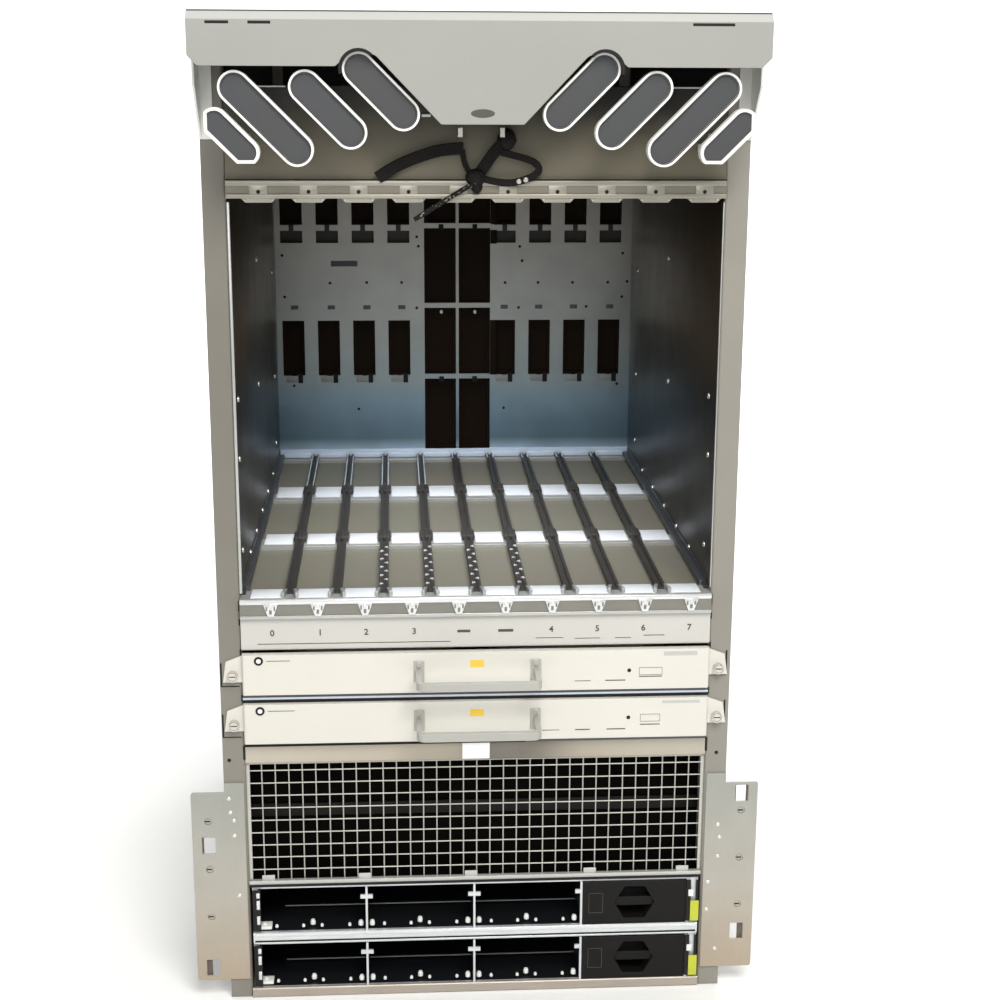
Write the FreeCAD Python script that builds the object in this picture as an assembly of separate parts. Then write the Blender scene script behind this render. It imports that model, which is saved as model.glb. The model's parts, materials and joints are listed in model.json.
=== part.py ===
import FreeCAD, Part
import math
import os

V = FreeCAD.Vector

# Rack router chassis, ten card slots. Millimetres, +Z up, the front looks along -Y.

# Body
BODY_WIDTH = 444.5
FLANGE_WIDTH = 482.6
BODY_DEPTH = 652.7
HOOD_REACH = 75.0
SHEET = 2.0
BEND = 2.5
RUNNING_GAP = 0.4

# Tiers of the front, from the ground up
BASE_LIP = 10.0
BAY_HEIGHT = 46.0
TRAY_BAR = 13.5
DECK_HEIGHT = 8.0
INTAKE_HEIGHT = 121.5
HEADER_HEIGHT = 23.0
FAN_TIER = 40.5
SHELF_HEIGHT = 8.5
STRIP_GAP = 2.0
STRIP_HEIGHT = 31.5
SILL_HEIGHT = 19.0
CAGE_HEIGHT = 382.5
PLENUM_HEIGHT = 138.95

# Card slots
SLOT_COUNT = 10
SLOT_MARGIN = 2.25
JACK_OFFSET = 4.5
GUIDE_WIDTH = 9.0
GUIDE_HEIGHT = 4.0
GUIDE_GROOVE = 3.0
CROSSBAR_HEIGHT = 4.0
CROSSBAR_DEPTH = 30.0
FRONT_STRIP_DEPTH = 24.0
CROSSBAR_SHARES = (0.32, 0.646)
RAIL_HEIGHT = 16.0
RAIL_LOBE = 3.5
RAIL_LOBE_WIDTH = 30.0
RAIL_REACH = 5.0
LOWER_BEAD_REACH = 4.0
RAIL_HOLE_RADIUS = 2.0
CLINCH_SIDES = 8
RAIL_HOLE_DROP = 10.5
TAB_WIDTH = 13.0
TAB_STEM = 6.0

# Backplane
REAR_SPACE = 58.7
CONNECTOR_OFFSET = -3.0
WINDOW_WIDTH = 27.0
NOTCH_WIDTH = 6.0
LOWER_WINDOW = (102.7, 171.5)
LOWER_NOTCH = 8.4
UPPER_WINDOW_HEIGHT = 61.0
WINDOW_HEAD = 32.5
UPPER_NOTCH = 7.0
FOOT_WINDOW = 15.0
CONNECTOR_RECESS = 3.0
BOARD_GAP = 12.0
BOARD_THICK = 4.0
# Sides of the open middle of the backplane, in slot pitches from the middle of the chassis
CENTRE_SPAN = (-37.0 / 43.6, 44.5 / 43.6)
CENTRE_POST = 3.5
LOW_CENTRE_BARS = (98.0, 187.0)
CENTRE_BAR_HEAD = 97.5
CENTRE_BAR_HEIGHT = 6.0
PLATE_FOOT = 8.0
FOOT_LEDGE = 6.0

# Fan trays
FAN_REAR_SPACE = 38.0
FAN_FRAME_HEIGHT = 36.0
FAN_WALL = 1.5
FAN_ROWS = 3
FAN_FRONT_SPACE = 8.0
FAN_BACK_SPACE = 14.0
FAN_SIDE_SPACE = 117.85
HOUSING_GAP = 14.0
RING_WALL = 2.0
DUCT_SIDES = 24
HOUSING_CORNER = 24.0
BLADE_TIP_GAP = 2.0
HUB_RADIUS = 30.0
HUB_SIDES = 20
MOTOR_DISC_THICK = 3.0
BEARING_GAP = 0.3
HUB_HEIGHT = 26.0
BLADE_COUNT = 5
BLADE_CHORD = 30.0
BLADE_CAMBER = 4.0
BLADE_THICK = 1.6
BLADE_ANGLE = 34.0
STRUT_WIDTH = 7.0
FACE_REACH = 8.0
FACE_GAP = 0.5
EAR_REACH = 18.5
EAR_TOP = 8.0
EAR_TAPER = 3.0
EAR_FOOT = 11.0
EAR_SCREW_RISE = 7.0
HANDLE_SPAN = 116.0
HANDLE_REACH = 42.0
HANDLE_WIDTH = 8.0
HANDLE_THICK = 5.0
HANDLE_CORNER = 9.0
SCREW_HEAD_RADIUS = 5.0
SCREW_HEAD_HEIGHT = 6.0
SCREW_SIDES = 12
RUNNER_WIDTH = 12.0
SHELF_REACH = 3.0

# Air intake
HEADER_RETURN = 22.0
GRILLE_SETBACK = 3.0
WIRE_PITCH = 12.85
WIRE_THICK = 1.7
TOP_MESH = 4.8
GRILLE_BORDER = 3.4
FILTER_GAP = 25.6
FILTER_THICK = 14.0

# Power trays
INLET_SPACE = 52.7
BAY_COUNT = 4
BAY_LEFT_SPACE = 5.35
BAY_RIGHT_SPACE = 10.35
BAR_REACH = 3.0
BAR_RETURN = 10.0
CLIP_WIDTH = 12.0
CLIP_HEIGHT = 4.0
CLIP_DROP = 8.0
BLANK_DEPTH = 90.0
GRIP_WIDTH = 40.0
GRIP_HEIGHT = 34.0
GRIP_DEPTH = 24.0
GRIP_BAR = 9.0
GRIP_BAR_THICK = 6.0
GRIP_BAR_SETBACK = 3.0
INLET_WIDTH = 31.0
INLET_HEIGHT = 25.0
INLET_DEPTH = 18.0
INLET_WALL = 3.0
PIN_THICK = 2.0
PIN_WIDTH = 6.0
PIN_PITCH = 7.0

# Rack plates
PLATE_WIDTH = 50.75
PLATE_TOP = 217.5
PLATE_INNER_TOP = 227.0
PLATE_BOTTOM = 20.3
BOLT_EDGE = 15.5
BOLT_RISE = 100.0
BOLT_MIDDLE = 138.0
BOLT_RADIUS = 3.5
WINDOW_SLOT = 13.0
WINDOW_SLOT_HEIGHT = 17.0
# Middles of the two windows: the upper one below the plate's top, the lower one above its foot
LEFT_WINDOWS = (54.5, 13.0)
RIGHT_WINDOWS = (11.5, 38.4)

# Hood and its lozenges
HOOD_DROP = 44.5
HOOD_BEVEL = 7.5
HOOD_CORNER = 8.0
HOOD_TAPER = 8.0
HOOD_LAP = 12.0
TONGUE_DROP = 46.5
TONGUE_HALF = 34.5
TONGUE_SHIFT = 0.5
NOTCH_RISE = 13.0
NOTCH_INNER = 88.0
NOTCH_PEAK = 106.0
NOTCH_OUTER = 121.0
NOTCH_SLOPE = 4.0
NOTCH_ROUND = 8.0
BRACKET_REACH = 42.0
BRACKET_DROP = 70.0
PANEL_HEIGHT = 80.5
LIP_LENGTH = 70.0
LIP_REACH = 4.0
LOZENGE_SETBACK = 7.0
LOZENGE_DEPTH = 12.0
LOZENGE_RADIUS = 13.8
LOZENGE_RIM = 2.6
LOZENGE_RECESS = 4.0
LOZENGE_POST = 3.5
POST_SHARES = (0.6, 0.95)
SCREEN_THICK = 1.5
SCREEN_GAP = 0.2
# Upper end (x, distance below the top) and the slanting run of each lozenge of one side
LOZENGE_ENDS = ((101.8, 46.5, 36.5), (146.2, 61.0, 37.0), (204.3, 61.7, 50.5))
END_LOZENGE = (221.4, 89.4, 25.0)
END_RADIUS = 11.6
END_CLIP = 230.0
END_FLOOR = 9.0

# Tie straps
HOOK_PLACES = (-16.0, 20.5)
HOOK_DROP = 103.6
HOOK_WIDTH = 4.0
HOOK_REACH = 17.0
HOOK_TIP = 8.0
STRAP_PLANE = -9.0
STRAP_THICK = 2.0
LEFT_STRAP_WIDTH = 10.0
RIGHT_STRAP_WIDTH = 8.0
BAND_WIDTH = 7.0
EYE_WALL = 2.6
EYE_GAP = 0.3
LANYARD_RADIUS = 2.2
# Routes as (x, distance below the top)
STRAP_LEFT = ((-16.0, 107.5), (-48.4, 124.2), (-70.0, 130.5), (-87.6, 139.6))
STRAP_RIGHT = ((20.5, 105.5), (12.0, 126.0), (0.0, 140.5), (0.0, 148.5))
BAND_LOOP = ((2.0, 143.0), (34.4, 144.0), (47.0, 140.5), (54.0, 134.0), (52.0, 127.5), (43.2, 124.0),
             (15.0, 118.5))
LANYARD = ((-1.0, 141.5), (-27.0, 156.5), (-56.2, 174.8))

# Rear
EXHAUST_MARGIN = 15.0
EXHAUST_BORDER = 8.0
HONEYCOMB_SIDES = 6
HONEYCOMB_CELL = 32.0
HONEYCOMB_WEB = 5.0
COVER_SKIRT = 15.0
REAR_FLANGE = 15.0

INNER = BODY_WIDTH / 2 - SHEET
TRAY_HALF = INNER - SHEET - RUNNING_GAP
FRAME_HALF = INNER - RUNNING_GAP
BACKPLANE_DEPTH = BODY_DEPTH - REAR_SPACE
POWER_DEPTH = BODY_DEPTH - INLET_SPACE
FAN_DEPTH = BACKPLANE_DEPTH - FAN_REAR_SPACE
FAN_PITCH = (FAN_DEPTH - FAN_FRONT_SPACE - FAN_BACK_SPACE) / FAN_ROWS
FAN_FIRST = FAN_FRONT_SPACE + FAN_PITCH / 2
FAN_SPREAD = FRAME_HALF - FAN_SIDE_SPACE
RING_RADIUS = (FAN_PITCH - HOUSING_GAP) / 2 - RING_WALL
BAY_START = BAY_LEFT_SPACE - TRAY_HALF
BAY_PITCH = (2 * TRAY_HALF - BAY_LEFT_SPACE - BAY_RIGHT_SPACE) / BAY_COUNT
SLOT_PITCH = 2 * (INNER - SLOT_MARGIN) / SLOT_COUNT
CENTRE_LEFT, CENTRE_RIGHT = (share * SLOT_PITCH for share in CENTRE_SPAN)
PLATE_REACH = BODY_WIDTH / 2 + PLATE_WIDTH
CENTRE_TOP = CAGE_HEIGHT - WINDOW_HEAD
UPPER_WINDOW = (CENTRE_TOP - UPPER_WINDOW_HEIGHT, CENTRE_TOP)
CENTRE_BARS = (*LOW_CENTRE_BARS, CAGE_HEIGHT - CENTRE_BAR_HEAD)
Z_LOW_BAY = BASE_LIP
Z_TRAY_BAR = Z_LOW_BAY + BAY_HEIGHT
Z_UP_BAY = Z_TRAY_BAR + TRAY_BAR
Z_DECK = Z_UP_BAY + BAY_HEIGHT
Z_INTAKE = Z_DECK + DECK_HEIGHT
Z_HEADER = Z_INTAKE + INTAKE_HEIGHT
Z_FAN_LOW = Z_HEADER + HEADER_HEIGHT
Z_SHELF = Z_FAN_LOW + FAN_TIER
Z_FAN_UP = Z_SHELF + SHELF_HEIGHT
Z_STRIP = Z_FAN_UP + FAN_TIER + STRIP_GAP
Z_SILL = Z_STRIP + STRIP_HEIGHT
Z_CAGE = Z_SILL + SILL_HEIGHT
Z_CEILING = Z_CAGE + CAGE_HEIGHT
Z_TOP = Z_CEILING + PLENUM_HEIGHT
HEIGHT = Z_TOP + SHEET
REAR_INSIDE = BODY_DEPTH - SHEET
JACKS = [(i - (SLOT_COUNT - 1) / 2) * SLOT_PITCH + JACK_OFFSET for i in range(SLOT_COUNT)]
GUIDES = [(i - SLOT_COUNT / 2) * SLOT_PITCH for i in range(1, SLOT_COUNT)]


def back(distance):
    """The y of a plane this far behind the front face of the rack flange."""
    return HOOD_REACH - (HOOD_REACH + BODY_DEPTH) / 2 + distance


def box(x0, x1, d0, d1, z0, z1):
    """A block between two x, two distances behind the flange, and two heights."""
    return Part.makeBox(x1 - x0, d1 - d0, z1 - z0, V(x0, back(d0), z0))


def outline(points, place):
    """A closed face; a point (a, b, r) has its corner rounded by the radius r."""
    flat = [V(p[0], p[1], 0) for p in points]
    starts, ends, middles = [], [], []
    for i, p in enumerate(points):
        corner = flat[i]
        before = (flat[i - 1] - corner).normalize()
        after = (flat[(i + 1) % len(flat)] - corner).normalize()
        radius = p[2] if len(p) > 2 else 0.0
        half = before.getAngle(after) / 2
        reach = radius / math.tan(half)
        starts.append(corner + before * reach)
        ends.append(corner + after * reach)
        toward = before + after
        if radius > 0:
            middles.append(corner + toward.normalize() * (radius / math.sin(half) - radius))
        else:
            middles.append(None)
    edges = []
    for i in range(len(points)):
        here, there = place(*ends[i - 1][:2]), place(*starts[i][:2])
        if (here - there).Length > 1e-6:
            edges.append(Part.LineSegment(here, there).toShape())
        if middles[i] is not None:
            rounding = Part.Arc(there, place(*middles[i][:2]), place(*ends[i][:2]))
            edges.append(rounding.toShape())
    return Part.Face(Part.Wire(edges))


def upright(points, d0, d1):
    """A sheet standing across the chassis, drawn in x and z."""
    face = outline(points, lambda x, z: V(x, back(d0), z))
    return face.extrude(V(0, d1 - d0, 0))


def along_x(points, x0, x1):
    """A bar or fold running from side to side, drawn in distance behind the flange and z."""
    face = outline(points, lambda d, z: V(x0, back(d), z))
    return face.extrude(V(x1 - x0, 0, 0))


def level(points, z0, z1):
    """A sheet lying level, drawn in x and distance behind the flange."""
    face = outline(points, lambda x, d: V(x, back(d), z0))
    return face.extrude(V(0, 0, z1 - z0))


def drill(x, z, radius, d0, d1):
    """A round pin or hole running from front to back."""
    return Part.makeCylinder(radius, d1 - d0, V(x, back(d0), z), V(0, 1, 0))


def many_sided(a, b, radius, sides):
    """Corners of a regular outline whose flats touch a circle of this radius round (a, b)."""
    corner = radius / math.cos(math.pi / sides)
    turns = [2 * math.pi * (k + 0.5) / sides for k in range(sides)]
    return [(a + corner * math.cos(t), b + corner * math.sin(t)) for t in turns]


def mirrored(shape):
    """The same piece on the other side of the chassis."""
    return shape.mirror(V(0, 0, 0), V(1, 0, 0))


def fused(pieces):
    """One solid from pieces that were made as one."""
    whole = pieces[0].fuse(pieces[1:]) if len(pieces) > 1 else pieces[0]
    return whole.removeSplitter()


def save(name, *pieces):
    """Write one node; several pieces are separate solids of the same kind."""
    shape = pieces[0] if len(pieces) == 1 else Part.makeCompound(pieces)
    shape.exportStep("parts/" + name + ".step")


# Outer sheet metal

def side_panel():
    """Right-hand side: one folded sheet with the rack flange in front and a lip at the rear."""
    half = BODY_WIDTH / 2
    rear = REAR_INSIDE
    points = [(INNER, 0, BEND), (FLANGE_WIDTH / 2, 0), (FLANGE_WIDTH / 2, SHEET), (half, SHEET),
              (half, rear), (half - REAR_FLANGE, rear), (half - REAR_FLANGE, rear - SHEET),
              (INNER, rear - SHEET)]
    return level(points, 0, Z_TOP)


def base_pan():
    """Floor of the chassis with its hemmed front lip and low side flanges."""
    rear = REAR_INSIDE - SHEET
    front = -BAR_REACH
    points = [(front, 0, SHEET), (rear, 0), (rear, SHEET), (front + SHEET, SHEET),
              (front + SHEET, BASE_LIP - SHEET), (0, BASE_LIP - SHEET), (0, BASE_LIP),
              (front, BASE_LIP, SHEET)]
    pan = along_x(points, -INNER, INNER)
    flange_height = SHEET + BASE_LIP
    left = box(-INNER, -INNER + SHEET, BAR_RETURN, rear, 0, flange_height)
    right = box(INNER - SHEET, INNER, BAR_RETURN, rear, 0, flange_height)
    return fused([pan, left, right])


def top_cover():
    """Lid with skirts that hang over both sides."""
    half = BODY_WIDTH / 2
    points = [(-half - SHEET, Z_TOP - COVER_SKIRT), (-half, Z_TOP - COVER_SKIRT), (-half, Z_TOP),
              (half, Z_TOP), (half, Z_TOP - COVER_SKIRT), (half + SHEET, Z_TOP - COVER_SKIRT),
              (half + SHEET, HEIGHT, SHEET), (-half - SHEET, HEIGHT, SHEET)]
    return upright(points, HOOD_LAP, BODY_DEPTH)


def exhaust_span():
    """Half width, lower and upper height of the exhaust opening in the rear."""
    return INNER - EXHAUST_MARGIN - SHEET, Z_CEILING + EXHAUST_MARGIN, Z_TOP - EXHAUST_MARGIN


def rear_cover():
    """Back wall, open for the exhaust and for the power trays' inlets."""
    half = BODY_WIDTH / 2
    wall = box(-half, half, REAR_INSIDE, BODY_DEPTH, 0, Z_TOP)
    side, low, high = exhaust_span()
    wall = wall.cut(box(-side, side, REAR_INSIDE, BODY_DEPTH, low, high))
    for z in (Z_LOW_BAY, Z_UP_BAY):
        for x in bay_middles():
            reach = INLET_WIDTH / 2 + RUNNING_GAP
            rise = INLET_HEIGHT / 2 + RUNNING_GAP
            middle = z + BAY_HEIGHT / 2
            wall = wall.cut(box(x - reach, x + reach, REAR_INSIDE, BODY_DEPTH,
                                middle - rise, middle + rise))
    return wall


def rear_exhaust_grille():
    """Honeycomb panel on the inside of the exhaust opening."""
    side, low, high = exhaust_span()
    d0, d1 = REAR_INSIDE - SHEET, REAR_INSIDE
    reach = min(side + EXHAUST_BORDER, BODY_WIDTH / 2 - REAR_FLANGE)
    panel = box(-reach, reach, d0, d1, low - EXHAUST_BORDER, high + EXHAUST_BORDER)
    cell = HONEYCOMB_CELL / 2
    corner = cell / math.cos(math.pi / HONEYCOMB_SIDES)
    pitch_x = HONEYCOMB_CELL + HONEYCOMB_WEB
    pitch_z = pitch_x * math.cos(math.pi / 6)
    rows = int((high - low - 2 * corner) / pitch_z) + 1
    columns = int((2 * side - 2 * cell - pitch_x / 2) / pitch_x) + 1
    cells = []
    for row in range(rows):
        z = (low + high) / 2 + (row - (rows - 1) / 2) * pitch_z
        shift = pitch_x / 4 if row % 2 else -pitch_x / 4
        for column in range(columns):
            x = (column - (columns - 1) / 2) * pitch_x + shift
            cells.append(upright(many_sided(x, z, cell, HONEYCOMB_SIDES), d0, d1))
    return panel.cut(cells)


def rack_plate(windows):
    """Right-hand adapter plate on the foot of the flange: bolt holes, a nut hole and two windows."""
    half = BODY_WIDTH / 2
    flange = FLANGE_WIDTH / 2
    points = [(half, PLATE_BOTTOM), (PLATE_REACH, PLATE_BOTTOM, BEND), (PLATE_REACH, PLATE_TOP, BEND),
              (flange, PLATE_TOP), (flange, PLATE_INNER_TOP), (half, PLATE_INNER_TOP)]
    plate = upright(points, -SHEET, 0)
    x = PLATE_REACH - BOLT_EDGE
    for z in (BOLT_MIDDLE - BOLT_RISE / 2, BOLT_MIDDLE + BOLT_RISE / 2):
        plate = plate.cut(drill(x, z, BOLT_RADIUS, -SHEET, 0))
    plate = plate.cut(upright(many_sided(x, BOLT_MIDDLE, BOLT_RADIUS, CLINCH_SIDES), -SHEET, 0))
    left, right = x - WINDOW_SLOT / 2, x + WINDOW_SLOT / 2
    for z in (PLATE_TOP - windows[0], PLATE_BOTTOM + windows[1]):
        plate = plate.cut(box(left, right, -SHEET, 0, z - WINDOW_SLOT_HEIGHT / 2,
                              z + WINDOW_SLOT_HEIGHT / 2))
    return plate


# Hood, upper panel and lozenges

def hood_outline():
    """Front of the hood: tapered ends, a notch over the inner lozenges and the middle tongue."""
    half = FLANGE_WIDTH / 2
    bottom = HEIGHT - HOOD_DROP
    tongue = bottom - TONGUE_DROP
    peak = bottom + NOTCH_RISE
    right = [(TONGUE_SHIFT + TONGUE_HALF, tongue, BEND), (NOTCH_INNER, peak - NOTCH_SLOPE, NOTCH_ROUND),
             (NOTCH_PEAK, peak, NOTCH_ROUND), (NOTCH_OUTER, bottom, BEND),
             (half - HOOD_TAPER, bottom, BEND), (half, bottom + HOOD_CORNER, BEND)]
    left = [(-x, z, r) for x, z, r in reversed(right)]
    left[-1] = (TONGUE_SHIFT - TONGUE_HALF, tongue, BEND)
    top = HEIGHT - HOOD_BEVEL
    return right + [(half, top), (-half, top)] + left


def hood():
    """Folded hood: front with tongue, bevelled top edge, top sheet and two cheeks."""
    half = FLANGE_WIDTH / 2
    front = -HOOD_REACH
    top = HEIGHT - HOOD_BEVEL
    face = upright(hood_outline(), front, front + SHEET)
    fold = [(front, top), (front + HOOD_BEVEL, HEIGHT), (HOOD_LAP, HEIGHT), (HOOD_LAP, HEIGHT - SHEET),
            (front + HOOD_BEVEL + SHEET / 2, HEIGHT - SHEET), (front + SHEET, top - SHEET / 2)]
    roof = along_x(fold, -half, half)
    low = HEIGHT - HOOD_DROP + HOOD_CORNER
    cheek = [(front + SHEET, low), (0, low), (0, HEIGHT - SHEET), (front + HOOD_BEVEL + SHEET / 2,
             HEIGHT - SHEET), (front + SHEET, top)]
    right = along_x(cheek, half - SHEET, half)
    return fused([face, roof, right, mirrored(right)])


def hood_bracket():
    """Right-hand gusset that carries the hood's cheek on the flange."""
    half = FLANGE_WIDTH / 2
    low = HEIGHT - HOOD_DROP + HOOD_CORNER
    points = [(0, low), (-BRACKET_REACH, low), (-BRACKET_REACH, low - BRACKET_DROP / 3),
              (-SHEET, low - BRACKET_DROP), (0, low - BRACKET_DROP)]
    gusset = along_x(points, half - SHEET, half)
    foot = box(half - RUNNER_WIDTH, half, -SHEET, 0, low - BRACKET_DROP, low)
    return fused([gusset, foot])


def upper_front_panel():
    """Sheet between the card cage and the hood, with two short lips on its upper edge."""
    bottom = Z_CEILING
    top = bottom + PANEL_HEIGHT
    fold = [(0, bottom), (SHEET, bottom), (SHEET, top - SHEET), (RUNNER_WIDTH, top - SHEET),
            (RUNNER_WIDTH, top), (0, top, SHEET / 2)]
    panel = along_x(fold, -INNER, INNER)
    lip = box(INNER - LIP_LENGTH, INNER, -LIP_REACH, 0, top - SHEET, top - SHEET / 2)
    return fused([panel, lip, mirrored(lip)])


def capsule(x, z, run, radius, side, d0, d1):
    """A pill that slopes down toward the middle at 45 degrees, drawn from its upper end."""
    lean = radius * math.sqrt(0.5)
    x2, z2 = x - side * run, z - run
    place = back(d0)
    upper_in = V(x - side * lean, place, z + lean)
    upper_out = V(x + side * lean, place, z - lean)
    lower_in = V(x2 - side * lean, place, z2 + lean)
    lower_out = V(x2 + side * lean, place, z2 - lean)
    upper_tip = V(x + side * lean, place, z + lean)
    lower_tip = V(x2 - side * lean, place, z2 - lean)
    edges = [Part.Arc(upper_in, upper_tip, upper_out).toShape(),
             Part.LineSegment(upper_out, lower_out).toShape(),
             Part.Arc(lower_out, lower_tip, lower_in).toShape(),
             Part.LineSegment(lower_in, upper_in).toShape()]
    return Part.Face(Part.Wire(edges)).extrude(V(0, d1 - d0, 0))


def lozenges(side):
    """The four rimmed lozenges of one side, with their screens."""
    front = -HOOD_REACH + LOZENGE_SETBACK
    rear = front + LOZENGE_DEPTH
    floor = front + LOZENGE_RECESS
    shells, screens = [], []
    ends = [(x, drop, run, LOZENGE_RADIUS) for x, drop, run in LOZENGE_ENDS]
    ends.append(END_LOZENGE + (END_RADIUS,))
    for x, drop, run, radius in ends:
        z = HEIGHT - drop
        inner = radius - LOZENGE_RIM
        shell = capsule(side * x, z, run, radius, side, front, rear)
        hollow = capsule(side * x, z, run, inner, side, front, floor)
        screen = capsule(side * x, z, run, inner - SCREEN_GAP, side, floor - SCREEN_THICK, floor)
        if radius == END_RADIUS:
            shell, hollow, screen = clipped(shell, hollow, screen, side, z - run)
        shell = shell.cut(hollow)
        for share in POST_SHARES:
            at_x, at_z = side * (x - share * run), z - share * run
            peg = box(at_x - LOZENGE_POST, at_x + LOZENGE_POST, rear, 0, at_z - LOZENGE_POST,
                      at_z + LOZENGE_POST)
            shell = shell.fuse(peg)
        shells.append(shell)
        screens.append(screen)
    return shells, screens


def clipped(shell, hollow, screen, side, low_end):
    """Trim the outermost lozenge to the chassis side and to its flat foot."""
    clips = []
    for margin in (0.0, LOZENGE_RIM, LOZENGE_RIM + SCREEN_GAP):
        x0, x1 = sorted((0.0, side * (END_CLIP - margin)))
        keep = box(x0, x1, -HOOD_REACH, 0, low_end - END_FLOOR + margin, HEIGHT)
        clips.append(keep)
    return shell.common(clips[0]), hollow.common(clips[1]), screen.common(clips[2])


# Card cage

def cage_top_rail():
    """Front rail over the slots: a lobed lower edge and a hole for every slot's clinch nut."""
    bottom = Z_CEILING - RAIL_HEIGHT
    half = RAIL_LOBE_WIDTH / 2
    points = [(-INNER, Z_CEILING), (-INNER, bottom)]
    for x in JACKS:
        points += [(x - half, bottom), (x - half + RAIL_LOBE, bottom - RAIL_LOBE),
                   (x + half - RAIL_LOBE, bottom - RAIL_LOBE), (x + half, bottom)]
    points += [(INNER, bottom), (INNER, Z_CEILING)]
    rail = upright(points, -RAIL_REACH, 0)
    hole_z = Z_CEILING - RAIL_HOLE_DROP
    holes = [many_sided(x, hole_z, RAIL_HOLE_RADIUS, CLINCH_SIDES) for x in JACKS]
    return rail.cut([upright(points, -RAIL_REACH, 0) for points in holes])


def crossbars(z0):
    """The bars across the cage that the card guides sit on, front strip first."""
    spans = [(0, FRONT_STRIP_DEPTH)]
    places = [share * BACKPLANE_DEPTH for share in CROSSBAR_SHARES]
    spans += [(d - CROSSBAR_DEPTH / 2, d + CROSSBAR_DEPTH / 2) for d in places]
    spans.append((BACKPLANE_DEPTH - FRONT_STRIP_DEPTH, BACKPLANE_DEPTH))
    return [box(-INNER, INNER, d0, d1, z0, z0 + CROSSBAR_HEIGHT) for d0, d1 in spans]


def card_guide(x, z0, groove_up):
    """One grooved guide running from the front strip to the foot of the backplane."""
    half = GUIDE_WIDTH / 2
    front, rear = FRONT_STRIP_DEPTH / 2, BACKPLANE_DEPTH - FOOT_LEDGE
    rail = box(x - half, x + half, front, rear, z0, z0 + GUIDE_HEIGHT)
    low = z0 + GUIDE_HEIGHT / 2 if groove_up else z0
    groove = box(x - GUIDE_GROOVE / 2, x + GUIDE_GROOVE / 2, front, rear, low, low + GUIDE_HEIGHT / 2)
    return rail.cut(groove)


def edge_guide(side, z0):
    """The half-width guide along a side wall."""
    x0, x1 = sorted((side * INNER, side * (INNER - GUIDE_WIDTH / 2)))
    rear = BACKPLANE_DEPTH - FOOT_LEDGE
    return box(x0, x1, FRONT_STRIP_DEPTH / 2, rear, z0, z0 + GUIDE_HEIGHT)


def card_guides(z0, groove_up):
    """Guides at every slot boundary and along both walls."""
    inner = [card_guide(x, z0, groove_up) for x in GUIDES]
    return inner + [edge_guide(-1, z0), edge_guide(1, z0)]


def cage_sill():
    """Extruded sill under the slots: upper bead, channel and lower bead, with a tab per slot."""
    upper, lower = -RAIL_REACH, -LOWER_BEAD_REACH
    bead = SILL_HEIGHT / 4
    top = Z_CAGE - bead
    low = Z_SILL + bead
    points = [(0, Z_SILL), (0, Z_CAGE), (upper, Z_CAGE, SHEET), (upper, top, SHEET / 2), (-SHEET, top),
              (-SHEET, low), (lower, low, SHEET / 2), (lower, Z_SILL, SHEET / 2)]
    sill = along_x(points, -INNER, INNER)
    for x in JACKS:
        half, stem = TAB_WIDTH / 2, TAB_STEM / 2
        shoulder = top - (top - low) / 3
        tab = upright([(x - half, top), (x - half, shoulder), (x - stem, low), (x + stem, low),
                       (x + half, shoulder), (x + half, top)], lower, -SHEET)
        sill = sill.fuse(tab)
    return sill.removeSplitter()


def slot_strip():
    """Cream strip below the sill, folded back along its upper and lower edges."""
    d0, d1 = -SHEET, RUNNER_WIDTH
    points = [(d0, Z_STRIP, BEND), (d1, Z_STRIP), (d1, Z_STRIP + SHEET), (0, Z_STRIP + SHEET),
              (0, Z_SILL - SHEET), (d1, Z_SILL - SHEET), (d1, Z_SILL), (d0, Z_SILL, SHEET / 2)]
    return along_x(points, -INNER, INNER)


# Backplane

def slot_middle(slot):
    """The x of the connectors of one slot."""
    return (slot - (SLOT_COUNT - 1) / 2) * SLOT_PITCH + CONNECTOR_OFFSET


def backplane_plate(x0, x1, slots):
    """Steel stiffener in front of the board, with two windows for each of its slots."""
    d0, d1 = BACKPLANE_DEPTH, BACKPLANE_DEPTH + SHEET
    plate = box(x0, x1, d0, d1, Z_CAGE, Z_CEILING)
    foot = box(x0, x1, d0 - FOOT_LEDGE, d0, Z_CAGE, Z_CAGE + PLATE_FOOT)
    plate = plate.fuse(foot)
    half, slit = WINDOW_WIDTH / 2, NOTCH_WIDTH / 2
    for slot in slots:
        x = slot_middle(slot)
        for low, high in (LOWER_WINDOW, UPPER_WINDOW):
            plate = plate.cut(box(x - half, x + half, d0, d1, Z_CAGE + low, Z_CAGE + high))
        low = Z_CAGE + LOWER_WINDOW[0]
        plate = plate.cut(box(x - slit, x + slit, d0, d1, low - LOWER_NOTCH, low))
        low = Z_CAGE + UPPER_WINDOW[0]
        plate = plate.cut(box(x - slit, x + slit, d0, d1, low - UPPER_NOTCH, low))
        low = low - UPPER_NOTCH
        plate = plate.cut(box(x - half, x + half, d0, d1, low - FOOT_WINDOW, low))
    return plate.removeSplitter()


def backplane_centre_bars():
    """Post and cross bars in front of the two middle slots."""
    d0, d1 = BACKPLANE_DEPTH, BACKPLANE_DEPTH + SHEET
    middle = (CENTRE_LEFT + CENTRE_RIGHT) / 2
    half = CENTRE_POST / 2
    bars = [box(middle - half, middle + half, d0, d1, Z_CAGE, Z_CAGE + CENTRE_TOP)]
    bars.append(box(CENTRE_LEFT, CENTRE_RIGHT, d0, d1, Z_CAGE + CENTRE_TOP, Z_CEILING))
    for z in CENTRE_BARS:
        bars.append(box(CENTRE_LEFT, CENTRE_RIGHT, d0, d1, Z_CAGE + z, Z_CAGE + z + CENTRE_BAR_HEIGHT))
    return fused(bars)


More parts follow.
